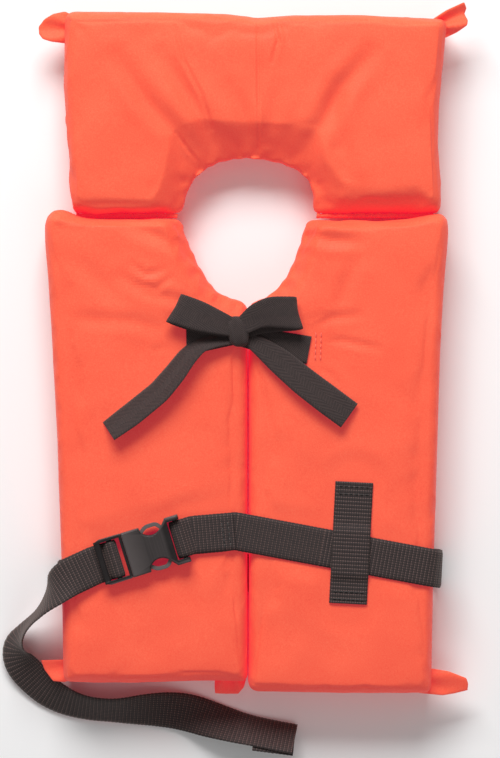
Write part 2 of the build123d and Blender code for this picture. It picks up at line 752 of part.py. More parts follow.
keeper_top = Plane(
    origin=(*KEEPER_CENTRE, keeper_low + WEBBING_THICKNESS),
    x_dir=(cos(radians(KEEPER_ANGLE)), sin(radians(KEEPER_ANGLE)), 0),
    z_dir=(0, 0, 1),
)
with BuildPart() as keeper_stitching:
    half = KEEPER_LENGTH / 2
    rows = []
    for y in (half - 3, half - 8, -half + 3, -half + 8):
        rows.append(((-ROW_HALF, y), (ROW_HALF, y), STITCH_PITCH))
    for stitch in stitch_rows(keeper_top, rows):
        extrude(stitch, amount=STITCH[2])
keep(keeper_stitching, "keeper_stitching")

loop_top = Plane(
    origin=(*FOLD_BACK_END, over_z + WEBBING_THICKNESS / 2 + 0.05),
    x_dir=(cos(radians(FOLD_BACK_HEADING)), sin(radians(FOLD_BACK_HEADING)), 0),
    z_dir=(0, 0, 1),
)
with BuildPart() as belt_loop_stitching:
    rows = [((x, -ROW_HALF), (x, ROW_HALF), STITCH_PITCH) for x in (-4.0, -8.0)]
    for stitch in stitch_rows(loop_top, rows):
        extrude(stitch, amount=STITCH[2])
keep(belt_loop_stitching, "belt_loop_stitching")

with BuildPart() as tie_anchor_stitching:
    rows = [((x, -6.0), (x + 0.6, 13.0), 3.2) for x in (41.5, 45.0)]
    for stitch in stitch_rows(Plane.XY.offset(PAD_THICKNESS), rows):
        extrude(stitch, amount=STITCH[2])
keep(tie_anchor_stitching, "tie_anchor_stitching")
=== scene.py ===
"""Looks of the youth keyhole life jacket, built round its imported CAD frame. Metres, +Z up."""
import json
from math import copysign, cos, pi, radians, sin, sqrt, tan

import bmesh
import bpy
import numpy as np
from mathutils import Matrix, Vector, geometry, noise


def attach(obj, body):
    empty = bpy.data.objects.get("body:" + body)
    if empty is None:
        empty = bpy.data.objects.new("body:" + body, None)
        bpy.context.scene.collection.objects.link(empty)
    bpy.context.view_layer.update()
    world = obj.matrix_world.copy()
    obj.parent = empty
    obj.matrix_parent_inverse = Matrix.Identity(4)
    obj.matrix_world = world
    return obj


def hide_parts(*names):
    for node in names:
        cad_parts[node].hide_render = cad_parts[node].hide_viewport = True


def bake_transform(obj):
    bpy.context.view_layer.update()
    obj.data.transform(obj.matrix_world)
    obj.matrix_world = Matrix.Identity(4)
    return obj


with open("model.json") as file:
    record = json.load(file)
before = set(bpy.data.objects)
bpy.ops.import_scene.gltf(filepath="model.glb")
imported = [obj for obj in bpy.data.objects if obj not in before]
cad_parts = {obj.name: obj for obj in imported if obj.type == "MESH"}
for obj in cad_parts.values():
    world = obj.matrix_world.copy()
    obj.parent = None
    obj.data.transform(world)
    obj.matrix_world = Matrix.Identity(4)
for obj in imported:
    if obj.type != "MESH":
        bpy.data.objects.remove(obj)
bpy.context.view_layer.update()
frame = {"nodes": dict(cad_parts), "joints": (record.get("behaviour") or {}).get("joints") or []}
scene = bpy.context.scene
scene.view_settings.view_transform = "Standard"
MM = 0.001
CM = 10 * MM

# ---- places read from the frame
fold_joint = next(j for j in frame["joints"] if j["name"] == "collar_fold")
_, FOLD_Y, SEAM_Z = fold_joint["pos_m"]
TOP_Z = 2 * SEAM_Z

# ---- camera
CAMERA_HEIGHT = 3.2
SENSOR = 36
VIEW_HEIGHT = 0.5053  # what the view's long side spans at three quarters of the pads' height
VIEW_CENTRE = (-1.7 * MM, -18.3 * MM)


def link(name, data):
    """A linked object that carries this data."""
    obj = bpy.data.objects.new(name, data)
    scene.collection.objects.link(obj)
    return obj


def make_camera():
    """A long lens straight above the jacket."""
    data = bpy.data.cameras.new("camera")
    data.sensor_width = SENSOR
    data.lens = SENSOR * (CAMERA_HEIGHT - 0.75 * TOP_Z) / VIEW_HEIGHT
    scene.camera = link("camera", data)
    scene.camera.location = (*VIEW_CENTRE, CAMERA_HEIGHT)


make_camera()


# ---- mesh helpers
def shade_smooth(data):
    """Turns smooth shading on for every face."""
    data.polygons.foreach_set("use_smooth", [True] * len(data.polygons))


def mesh_object(name, verts, faces):
    """A linked mesh object from plain lists, smooth shaded."""
    data = bpy.data.meshes.new(name)
    data.from_pydata([tuple(v) for v in verts], [], faces)
    shade_smooth(data)
    data.update()
    return link(name, data)


def ring_faces(rings, sides):
    """Quads between neighbouring rings of points."""
    faces = []
    for i in range(rings - 1):
        for j in range(sides):
            a, b = i * sides + j, i * sides + (j + 1) % sides
            faces.append((a, b, b + sides, a + sides))
    return faces


def tube_faces(rings, sides):
    """Faces of a closed tube: quads between its rings and a cap on each end."""
    caps = [tuple(range(sides))[::-1], tuple(range((rings - 1) * sides, rings * sides))]
    return ring_faces(rings, sides) + caps


def write_uvs(obj, uvs):
    """Gives each point of the mesh its place on the strap, for the weave to follow."""
    layer = obj.data.uv_layers.new(name="strap")
    at = np.empty(len(obj.data.loops), int)
    obj.data.loops.foreach_get("vertex_index", at)
    layer.data.foreach_set("uv", uvs[at].ravel())


def points_of(obj):
    """The mesh's points as an array, three to a row."""
    co = np.empty(len(obj.data.vertices) * 3)
    obj.data.vertices.foreach_get("co", co)
    return co.reshape(-1, 3)


def set_points(obj, co):
    """Writes the array back to the mesh."""
    obj.data.vertices.foreach_set("co", co.ravel())
    obj.data.update()


def evaluated_mesh(obj):
    """A new mesh of the object as its modifiers or its curve make it."""
    return bpy.data.meshes.new_from_object(obj.evaluated_get(bpy.context.evaluated_depsgraph_get()))


def apply_modifiers(obj):
    """Replaces the mesh by its evaluated one and clears the modifiers."""
    data = evaluated_mesh(obj)
    obj.modifiers.clear()
    obj.data = data


# ---- line and outline helpers
def ease(t):
    """Smooth step from 0 to 1."""
    t = np.clip(t, 0, 1)
    return t * t * (3 - 2 * t)


def unit(rows):
    """Each row as a direction of length 1."""
    return rows / np.linalg.norm(rows, axis=1)[:, None]


def headings(line):
    """The direction of travel at each point of a line."""
    return unit(np.gradient(line, axis=0))


def span_lengths(line):
    """The length of each span of a polyline."""
    return np.linalg.norm(np.diff(line, axis=0), axis=1)


def run_at(line):
    """How far along a polyline each of its points is."""
    return np.r_[0, np.cumsum(span_lengths(line))]


def looped(points):
    """A closed outline with its first point repeated at its end."""
    return np.vstack([points, points[:1]])


def resample(points, step, closed=False):
    """Points about step apart along a polyline of any dimension."""
    pts = np.array(points, float)
    if closed:
        pts = looped(pts)
    reach = run_at(pts)
    count = max(3, int(round(reach[-1] / step)))
    at = np.linspace(0, reach[-1], count + 1)
    out = np.stack([np.interp(at, reach, pts[:, k]) for k in range(pts.shape[1])], axis=1)
    return out[:-1] if closed else out


def cut_corners(points, reach=2.5):
    """Cuts each corner of a closed outline this far along its sides, for soft cloth corners."""
    pts = np.array(points, float)
    run = np.roll(pts, -1, axis=0) - pts
    share = np.minimum(0.25, reach / np.linalg.norm(run, axis=1))[:, None]
    return np.stack([pts + run * share, pts + run * (1 - share)], axis=1).reshape(-1, 2)


def near_line(co, line):
    """Each point's distance in plan to a polyline, the share of it run by there, and that place."""
    best = np.full(len(co), 1e9)
    along = np.zeros(len(co))
    place = np.zeros((len(co), 2))
    line = np.array(line, float)
    total = 0.0
    for a, b in zip(line[:-1], line[1:]):
        run = b - a
        length = np.linalg.norm(run)
        t = np.clip(((co[:, :2] - a) @ run) / length**2, 0, 1)
        foot = a + t[:, None] * run
        dist = np.linalg.norm(co[:, :2] - foot, axis=1)
        nearer = dist < best
        best[nearer] = dist[nearer]
        along[nearer] = (total + t * length)[nearer]
        place[nearer] = foot[nearer]
        total += length
    return best, along / total, place


def inside(co, outline):
    """Which points lie inside a closed outline in plan."""
    x, y = co[:, 0], co[:, 1]
    odd = np.zeros(len(co), bool)
    outline = np.array(outline)
    for a, b in zip(outline, np.roll(outline, -1, axis=0)):
        spans = (a[1] > y) != (b[1] > y)
        drop = b[1] - a[1] if b[1] != a[1] else 1e-12
        odd ^= spans & (x < (b[0] - a[0]) * (y - a[1]) / drop + a[0])
    return odd


def ripple(co, scale, seed):
    """Smooth noise from about -1 to 1 at each point."""
    shift = Vector((seed * 7.3, seed * 3.1, seed * 5.7))
    return np.array([noise.noise(Vector(p) * scale + shift) for p in co]) * 1.6


# ---- shader helpers
def set_inputs(tree, node, values):
    """Sets a node's inputs by name or number, to plain values or from sockets."""
    for name, value in values.items():
        if isinstance(value, bpy.types.NodeSocket):
            tree.links.new(value, node.inputs[name])
        else:
            node.inputs[name].default_value = value


def add_node(tree, kind, inputs):
    """A new node with these inputs."""
    node = tree.nodes.new(kind)
    set_inputs(tree, node, inputs)
    return node


def new_material(name, colour, roughness):
    """A material, its node tree, and its Principled shader with these values."""
    material = bpy.data.materials.new(name)
    material.use_nodes = True
    tree = material.node_tree
    shader = tree.nodes["Principled BSDF"]
    set_inputs(tree, shader, {"Base Color": (*colour, 1), "Roughness": roughness})
    return material, tree, shader


def maths(tree, operation, *values):
    """One maths step on sockets or numbers."""
    node = add_node(tree, "ShaderNodeMath", dict(enumerate(values)))
    node.operation = operation
    return node.outputs[0]


def scaled(tree, value, factor, base):
    """The value times a factor, on top of a base that is a socket or a number."""
    return maths(tree, "ADD", maths(tree, "MULTIPLY", value, factor), base)


def coordinates(tree, source):
    """A texture coordinate."""
    return tree.nodes.new("ShaderNodeTexCoord").outputs[source]


def split(tree, source):
    """The first two coordinates of a texture coordinate."""
    parts = add_node(tree, "ShaderNodeSeparateXYZ", {0: coordinates(tree, source)})
    return parts.outputs[0], parts.outputs[1]


def grain(tree, scale, detail):
    """Noise over the object, as a value socket."""
    inputs = {"Vector": coordinates(tree, "Object"), "Scale": scale, "Detail": detail}
    return add_node(tree, "ShaderNodeTexNoise", inputs).outputs["Fac"]


def waves(tree, coordinate, pitch):
    """A sine from 0 to 1 along a coordinate socket."""
    turns = maths(tree, "MULTIPLY", coordinate, 2 * pi / pitch)
    return scaled(tree, maths(tree, "SINE", turns), 0.5, 0.5)


def ramp(tree, value, *stops):
    """A colour ramp on a value socket; stops are (place, colour)."""
    node = add_node(tree, "ShaderNodeValToRGB", {"Fac": value})
    while len(node.color_ramp.elements) < len(stops):
        node.color_ramp.elements.new(0.5)
    for element, (position, colour) in zip(node.color_ramp.elements, stops):
        element.position = position
        element.color = (*colour, 1)
    return node.outputs["Color"]


def bump(tree, height, distance, strength=1.0, under=None):
    """A bump of this real depth on a height socket, on top of another normal if given."""
    inputs = {"Height": height, "Distance": distance, "Strength": strength}
    if under is not None:
        inputs["Normal"] = under
    return add_node(tree, "ShaderNodeBump", inputs).outputs["Normal"]


# ---- materials
ORANGE = (0.74, 0.126, 0.040)
ORANGE_WORN = (0.78, 0.158, 0.058)
ORANGE_DEEP = (0.68, 0.096, 0.028)
PAINTED_RED_GLOW = (0.66, 0.012, 0.064, 1)  # painted red glow: light that the cloth gives off itself, so it stays red even where it lies in shade
PAINTED_GLOW_STRENGTH = 0.42
WEAVE_PITCH = 0.55 * MM
TWIST_PITCH = 0.45 * MM  # between the turns of a two-ply thread
RIB_PITCH = 2.5 * MM  # between the webbing's ribs
YARN_PITCH = 1.6 * MM  # between the webbing's yarns, across it
TWILL_BAND = 4.75 * MM  # the tape's ridges turn back after this much of its width
TWILL_PITCH = 1.4 * MM  # between its ridges


def cover_nylon():
    """Fluorescent coated nylon: plain weave, pebbled coating, a soft sheen, and a painted red glow that
    keeps it red in shade.
    """
    material, tree, shader = new_material("cover_nylon", ORANGE, 0.6)
    x, y = split(tree, "Object")
    threads = maths(tree, "MULTIPLY", waves(tree, x, WEAVE_PITCH), waves(tree, y, WEAVE_PITCH))
    pebble = grain(tree, 1150, 2.0)
    patches = grain(tree, 28, 4.0)
    shading = scaled(tree, pebble, 0.7, maths(tree, "MULTIPLY", patches, 0.3))
    fine = bump(tree, threads, 0.06 * MM, 0.5)
    set_inputs(tree, shader, {
        "Base Color": ramp(tree, shading, (0.3, ORANGE_DEEP), (0.5, ORANGE), (0.7, ORANGE_WORN)),
        "Roughness": scaled(tree, patches, 0.35, 0.42),
        "Normal": bump(tree, pebble, 0.15 * MM, 0.55, fine),
        "Specular IOR Level": 0.2,
        "Sheen Weight": 0.04,
        "Sheen Roughness": 0.5,
        # painted glow: an emission that keeps the cloth red where it lies in shade
        "Emission Color": PAINTED_RED_GLOW,
        "Emission Strength": PAINTED_GLOW_STRENGTH,
    })
    return material


def foam():
    """Closed-cell buoyancy foam: small cells and a slightly glossy cut skin."""
    material, tree, shader = new_material("closed_cell_foam", (0.72, 0.70, 0.62), 0.55)
    inputs = {"Vector": coordinates(tree, "Object"), "Scale": 900}
    cells = add_node(tree, "ShaderNodeTexVoronoi", inputs).outputs["Distance"]
    set_inputs(tree, shader, {
        "Base Color": ramp(tree, cells, (0.0, (0.55, 0.53, 0.46)), (0.6, (0.78, 0.76, 0.68))),
        "Normal": bump(tree, cells, 0.3 * MM, 0.8),
    })
    return material


def webbing():
    """Black ribbed webbing: ribs across it, paler dots where threads cross that are lighter still on the rib
    crests, dull with a dry sheen; the dots are partly the yarn's own tone and partly painted highlight, and
    the lighter crests are painted highlight.
    """
    material, tree, shader = new_material("webbing", (0.03, 0.026, 0.024), 0.8)
    u, v = split(tree, "UV")
    ribs = waves(tree, u, RIB_PITCH / CM)
    dots = maths(tree, "MULTIPLY", waves(tree, v, YARN_PITCH / CM), waves(tree, u, RIB_PITCH / 2 / CM))
    # painted highlight: the thread dots are paler, more so on the rib crests; partly yarn tone, partly
    # painted highlight
    lit = maths(tree, "MULTIPLY", dots, maths(tree, "ADD", ribs, 0.25))
    fuzz = grain(tree, 700, 4.0)
    value = scaled(tree, fuzz, 0.55, lit)
    stops = ((0.25, (0.014, 0.009, 0.009)), (0.6, (0.044, 0.026, 0.024)), (1.0, (0.130, 0.076, 0.068)))
    fine = bump(tree, dots, 0.12 * MM, 0.8)
    set_inputs(tree, shader, {
        "Base Color": ramp(tree, value, *stops),
        "Normal": bump(tree, fuzz, 0.1 * MM, 0.5, fine),
        "Sheen Weight": 0.25,
        "Sheen Tint": (0.75, 0.62, 0.56, 1),
    })
    return material


def twill_tape():
    """Dark herringbone tape: diagonal ridges that turn back every few millimetres across it."""
    material, tree, shader = new_material("twill_tape", (0.028, 0.023, 0.022), 0.85)
    u, v = split(tree, "UV")
    slant = maths(tree, "ADD", u, maths(tree, "PINGPONG", v, TWILL_BAND / CM))
    ridges = waves(tree, slant, TWILL_PITCH / CM)
    fuzz = grain(tree, 600, 4.0)
    shade = maths(tree, "MULTIPLY", scaled(tree, fuzz, 0.7, ridges), 0.6)
    stops = ((0.2, (0.011, 0.007, 0.007)), (0.55, (0.032, 0.020, 0.019)), (0.9, (0.078, 0.048, 0.044)))
    fine = bump(tree, ridges, 0.22 * MM)
    set_inputs(tree, shader, {
        "Base Color": ramp(tree, shade, *stops),
        "Normal": bump(tree, fuzz, 0.1 * MM, 0.5, fine),
        "Sheen Weight": 0.2,
        "Sheen Tint": (0.7, 0.6, 0.56, 1),
    })
    return material


def buckle_plastic():
    """Moulded black acetal: satin, faintly pebbled, with softened edges that carry a painted highlight, a
    paler colour on the sharp edges.
    """
    material, tree, shader = new_material("buckle_plastic", (0.02, 0.019, 0.02), 0.38)
    scuffs = grain(tree, 160, 6.0)
    pebble = grain(tree, 2600, 2.0)
    edges = tree.nodes.new("ShaderNodeNewGeometry").outputs["Pointiness"]
    soft = add_node(tree, "ShaderNodeBevel", {"Radius": 0.7 * MM}).outputs["Normal"]
    fine = bump(tree, pebble, 0.05 * MM, 0.5, soft)
    set_inputs(tree, shader, {
        # painted highlight: the colour turns paler on sharp edges, where light would catch them
        "Base Color": ramp(tree, edges, (0.52, (0.012, 0.009, 0.009)), (0.62, (0.12, 0.10, 0.098))),
        "Roughness": scaled(tree, scuffs, 0.3, 0.22),
        "Normal": bump(tree, scuffs, 0.12 * MM, 0.25, fine),
        "Specular IOR Level": 0.36,
    })
    return material


def thread(name, colour, shade, painted_glow=0.0):
    """Twisted sewing thread: two-ply twist lines, a soft sheen, and, if asked, a painted red glow."""
    material, tree, shader = new_material(name, colour, 0.6)
    x, y = split(tree, "Object")
    twist = waves(tree, maths(tree, "ADD", x, y), TWIST_PITCH)
    set_inputs(tree, shader, {
        "Base Color": ramp(tree, twist, (0.2, shade), (0.8, colour)),
        "Normal": bump(tree, twist, 0.08 * MM, 0.8),
        "Sheen Weight": 0.3,
        # painted glow: an emission that keeps the thread red in shade
        "Emission Color": PAINTED_RED_GLOW,
        "Emission Strength": painted_glow,
    })
    return material


MATERIALS = {
    "cover_fabric": cover_nylon(),
    "flotation_foam": foam(),
    "belt_webbing": webbing(),
    "tie_tape": twill_tape(),
    "buckle_plastic": buckle_plastic(),
    "dark_thread": thread("dark_thread", (0.045, 0.036, 0.034), (0.012, 0.010, 0.010)),
    # the orange thread carries the cover's painted red glow
    "orange_thread": thread("orange_thread", (0.84, 0.22, 0.10), (0.66, 0.12, 0.05), PAINTED_GLOW_STRENGTH),
}


def finish_piece(obj, slot, *replaced, rides=None):
    """Gives a piece the material for its slot, hides the CAD nodes that it stands for, and puts it on its
    body.
    """
    obj.data.materials.clear()
    obj.data.materials.append(MATERIALS[slot])
    if replaced:
        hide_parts(*replaced)
    if rides:
        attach(obj, rides)


# ---- straps
WEBBING = (25.0 * MM, 1.6 * MM)  # width and thickness
RIB_DEPTH = 0.28 * MM
RIBBON_COLUMNS = 12
FLAT_SHARE = 0.86  # a strap is flat over this share of its width, and rounded off beyond it
STEP = 0.5 * MM  # between the points of a strap's line
HEADING_WEIGHT = 0.1 * MM  # a degree of heading counts as this much length when points are spaced


def ribbon(name, centres, across, width, thickness, ribs=RIB_DEPTH):
    """A woven strap through these centres: flat ribbed faces, thin rounded edges, UVs in cm."""
    width = np.broadcast_to(np.array(width, float), (len(centres),))
    forward = headings(centres)
    across = unit(across - (across * forward).sum(1)[:, None] * forward)
    up = np.cross(forward, across)
    reach = run_at(centres)
    rise = 0.5 - 0.5 * np.cos(2 * np.pi * reach / RIB_PITCH)
    shares = np.linspace(-1, 1, RIBBON_COLUMNS + 1)
    section = [(s, 1) for s in shares] + [(s, -1) for s in shares[::-1]]
    verts = np.empty((len(centres), len(section), 3))
    for k, (s, face) in enumerate(section):
        edge = max(0.0, (abs(s) - FLAT_SHARE) / (1 - FLAT_SHARE))
        half = thickness / 2 * sqrt(max(0.0, 1 - 0.75 * edge * edge))
        lift = face * (half - ribs + ribs * rise * (1 - 0.6 * edge))
        wave = 1 + 0.012 * rise * edge
        verts[:, k] = centres + across * (s * width * wave / 2)[:, None] + up * lift[:, None]
    obj = mesh_object(name, verts.reshape(-1, 3), tube_faces(len(centres), len(section)))
    us = np.repeat(reach / CM, len(section))
    vs = np.concatenate([[s * w / 2 / CM + 5 for s, _ in section] for w in width])
    write_uvs(obj, np.stack([us, vs], axis=1))
    return obj


def smoothed(values, spread):
    """Rows blurred along their length by a small bell, with the two ends kept."""
    reach = int(spread * 3) + 1
    bell = np.exp(-0.5 * (np.arange(-reach, reach + 1) / spread) ** 2)
    bell /= bell.sum()
    before = 2 * values[0] - values[reach:0:-1]
    after = 2 * values[-1] - values[-2:-reach - 2:-1]
    padded = np.vstack([before, values, after])
    return np.stack([np.convolve(padded[:, k], bell, "valid") for k in range(values.shape[1])], axis=1)


def level_ribbon(name, stations, spread=3.0):
    """Webbing by stations (X, Y, Z in mm, heading in degrees): it stays level across."""
    rows = resample(np.array(stations, float) * (MM, MM, MM, HEADING_WEIGHT), STEP)
    rows = smoothed(rows, spread)
    turn = np.radians(rows[:, 3] / HEADING_WEIGHT)
    across = np.stack([-np.sin(turn), np.cos(turn), np.zeros(len(turn))], axis=1)
    return ribbon(name, rows[:, :3], across, *WEBBING)


# ---- the belt's free tail
HEM_LENGTH, HEM_SKEW = 28.0, 4.0  # mm, and degrees off the tail's own heading
HEM_DROP = 2.05 * MM  # from the tail's middle to the turned end's
ROLL_SPREAD = 12.0  # points over which a change of the tail's roll is spread
# control points of the tail's route: X, Y, Z in millimetres, and its roll on edge in degrees
TAIL_ROUTE = [
    (-96.87, -139.54, 43.4, 0), (-104.99, -142.05, 43.2, 0), (-112.5, -145.8, 43.8, 0),
    (-125.5, -152, 44, 10), (-135.5, -163.5, 38.5, 66), (-144.5, -175.5, 27, 84),
    (-153.5, -186.5, 17.4, 78), (-159.5, -196.5, 13.8, 52), (-157, -207.5, 11, 28),
    (-148.6, -217.9, 8.4, 24), (-135, -230.3, 8.6, 34), (-115.5, -238.6, 10.6, 48),
    (-93, -241, 11.2, 50), (-67, -239.8, 6.8, 26), (-46, -241.5, 3, 4),
    (-24, -248.3, 6.6, -26), (-2, -254.2, 10.6, -42), (28.3, -259.7, 11.9, -42),
]


def nurbs_points(name, points):
    """A quadratic NURBS through given control points, read back as points along it."""
    curve = bpy.data.curves.new(name, "CURVE")
    curve.dimensions = "3D"
    spline = curve.splines.new("NURBS")
    spline.points.add(len(points) - 1)
    for point, centre in zip(spline.points, points):
        point.co = (*(v * MM for v in centre), 1)
    spline.order_u = 3
    spline.use_endpoint_u = True
    spline.resolution_u = 24
    holder = link(name, curve)
    bpy.context.view_layer.update()
    line = evaluated_mesh(holder)
    pts = np.array([tuple(v.co) for v in line.vertices])
    bpy.data.meshes.remove(line)
    bpy.data.objects.remove(holder)
    return pts


def tail_line():
    """The tail's centre line, and the direction across it at each point."""
    control = np.array([p[:3] for p in TAIL_ROUTE])
    line = resample(nurbs_points("tail_route", control), STEP)
    reach = run_at(control)
    share = np.linspace(0, 1, len(line))
    roll = np.radians(np.interp(share, reach / reach[-1], [p[3] for p in TAIL_ROUTE]))
    roll = smoothed(roll[:, None], ROLL_SPREAD)[:, 0]
    forward = headings(line)
    level = unit(np.stack([-forward[:, 1], forward[:, 0], np.zeros(len(line))], axis=1))
    upright = np.cross(forward, level)
    return line, level * np.cos(roll)[:, None] + upright * np.sin(roll)[:, None]


def tail_hem(line, across):
    """The tail's end, turned under a little askew."""
    ahead = headings(line)[-1]
    normal = np.cross(ahead, across[-1])
    skew = radians(HEM_SKEW)
    back = -(ahead * cos(skew) + across[-1] * sin(skew))
    start = line[-1] - normal * HEM_DROP
    centres = start + back * np.arange(0, HEM_LENGTH * MM, STEP)[:, None]
    hem = ribbon("belt_tail_turned_end", centres[::-1], np.tile(across[-1], (len(centres), 1)), *WEBBING)
    finish_piece(hem, "belt_webbing", "belt_tail_hem", rides="front")
    return hem


def belt_tail():
    """The long free end: over the pad's edge, twisted on edge, then along the floor."""
    line, across = tail_line()
    tail = ribbon("belt_tail_ribbon", line, across, *WEBBING)
    finish_piece(tail, "belt_webbing", "belt_tail", rides="front")
    hem = tail_hem(line, across)


belt_tail()

# ---- the belt round the jacket, in mm and degrees
BUCKLE_X, BUCKLE_Y, BUCKLE_TURN = -83.5, -135.4, 17.2
BELT_Z = 41.1  # middle of the webbing on the pads
UNDER_Z = 1.1  # and under the back
OVER_Z = BELT_Z + 1.7  # and where it is doubled
JOIN_X = 46.0  # where the belt's long run meets the stretch that is sewn round the socket's bar
RUN_HEADING = -10.6
FOLD_BACK = (-11.7, -119.3)  # where the doubled stretch ends
FOLD_BACK_HEADING = 8.0
BAR_Z = 44.1
BAR_TURN = 3.0  # radius of the webbing's middle round a bar
PLUG_BAR, SOCKET_BAR = -7.9, 37.2  # along the buckle
LOOP_REACH = 4.2  # the sewn loop bulges on past the socket's bar


def on_buckle(u, z):
    """A point given along the buckle, and up."""
    a = radians(BUCKLE_TURN)
    return (BUCKLE_X + u * cos(a), BUCKLE_Y + u * sin(a), z)


def at_buckle(u, z, heading=BUCKLE_TURN):
    """A strap's station on the buckle's line."""
    return (*on_buckle(u, z), heading)


def round_bar(u, start, end, reach=BAR_TURN, count=13):
    """Points round a buckle bar, angles in degrees in the buckle's long section; reach is along it."""
    for k in range(count):
        t = radians(start + (end - start) * k / (count - 1))
        yield at_buckle(u + reach * cos(t), BAR_Z + BAR_TURN * sin(t))


def on_right_run(x):
    """Y of the belt's right run at this X."""
    return FOLD_BACK[1] + (x - FOLD_BACK[0]) * tan(radians(RUN_HEADING))


BELT_ROUTE = [
    *((x, on_right_run(x), z, RUN_HEADING) for x, z in ((JOIN_X, BELT_Z), (108, BELT_Z), (116, 40.9))),
    (121.6, -144.2, 38.6, -8), (124.7, -144.8, 34, -6), (125.7, -145, 28, -3),
    (125.3, -145, 12, 0), (123.6, -145, 4, 1.7), (120.6, -145.1, 1.3, 1.7),
    (116, -145.3, UNDER_Z, 1.7), (-120, -152.1, UNDER_Z, 1.7), (-126.4, -152.25, 1.25, 1.7),
    (-128.9, -152.3, 4, 2.2), (-129.2, -152.4, 9, 2.2), (-129.2, -152.8, 28, 2.2),
    (-128.7, -152.7, 33.2, 3), (-127.2, -152.1, 36.9, 6), (-125, -151.2, 39.2, 9),
    (-121.8, -149.8, 41.1, 13), (-117, -147.6, 41.6, 18), (-112, -145.3, 41.3, 22),
    at_buckle(-22, BELT_Z, 21), at_buckle(-16, BELT_Z), at_buckle(-8.5, BELT_Z),
    *round_bar(PLUG_BAR, -90, 90),
    at_buckle(-9.3, 47.1), at_buckle(-10.8, 46.6), at_buckle(-12, 45.3), at_buckle(-13, 44.2),
]
LOOP_ROUTE = [
    (JOIN_X, on_right_run(JOIN_X), BELT_Z, RUN_HEADING),
    (FOLD_BACK[0] + 9, on_right_run(FOLD_BACK[0] + 9), BELT_Z, RUN_HEADING),
    (*FOLD_BACK, BELT_Z, -1.5),
    (FOLD_BACK[0] - 9, FOLD_BACK[1] - 1.26, BELT_Z, FOLD_BACK_HEADING),
    at_buckle(44, BELT_Z, 12),
    *round_bar(SOCKET_BAR, -90, -270, LOOP_REACH),
    at_buckle(39.5, 46.6), at_buckle(43, 43.9, 13), at_buckle(46.5, OVER_Z, FOLD_BACK_HEADING),
    (FOLD_BACK[0] - 0.5, FOLD_BACK[1] - 0.07, OVER_Z, FOLD_BACK_HEADING),
]
LOOP_BEND = {
    "start": (JOIN_X * MM, on_right_run(JOIN_X) * MM, BELT_Z * MM),
    "end": tuple(v * MM for v in on_buckle(41, BELT_Z)),
}


def belt():
    """The long stretch of webbing, and the stretch that is sewn round the socket's bar."""
    long_run = level_ribbon("belt_webbing_strap", BELT_ROUTE, spread=1.6)
    finish_piece(long_run, "belt_webbing", "belt_webbing", rides="front")
    loop = level_ribbon("belt_socket_strap", LOOP_ROUTE, spread=1.4)
    finish_piece(loop, "belt_webbing", "belt_socket_loop")
    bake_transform(loop)


belt()

# ---- the keeper, in mm and degrees
KEEPER_X, KEEPER_Y, KEEPER_TURN = 65.5, -127.2, -3.0
KEEPER_Z, OVER_BELT_Z = 40.9, 43.0


def on_keeper(s):
    """Plan place, s along the keeper towards the jacket's bottom."""
    a = radians(KEEPER_TURN)
    return KEEPER_X + s * sin(a), KEEPER_Y - s * cos(a)


def keeper():
    """The upright strap that the belt passes under, sewn down at its two ends."""
    heights = (
        (-40.5, KEEPER_Z), (-12.2, KEEPER_Z), (-8.4, OVER_BELT_Z),
        (21.4, OVER_BELT_Z), (25, KEEPER_Z), (40.5, KEEPER_Z),
    )
    stations = [(*on_keeper(s), z, KEEPER_TURN - 90) for s, z in heights]
    finish_piece(level_ribbon("belt_keeper_strap", stations), "belt_webbing", "belt_keeper", rides="front")


keeper()

# ---- the bow
TAPE_THICKNESS = 1.0 * MM
SLIGHT = 1e-5  # turns and widths are scaled by this, to count for little when points are spaced


def tape(name, stations, node):
    """A tape by stations: X, Y, Z (mm), direction across in plan, tilt (degrees) and width (mm)."""
    rows = np.array(stations, float) * ([MM] * 3 + [SLIGHT] * 3)
    rows = smoothed(resample(rows, STEP), 5.0)
    turn, tilt = np.radians(rows[:, 3:5] / SLIGHT).T
    across = np.stack([np.cos(turn) * np.cos(tilt), np.sin(turn) * np.cos(tilt), np.sin(tilt)], axis=1)
    obj = ribbon(name, rows[:, :3], across, rows[:, 5] / SLIGHT * MM, TAPE_THICKNESS, ribs=0.0)
    finish_piece(obj, "tie_tape", node, rides="front")


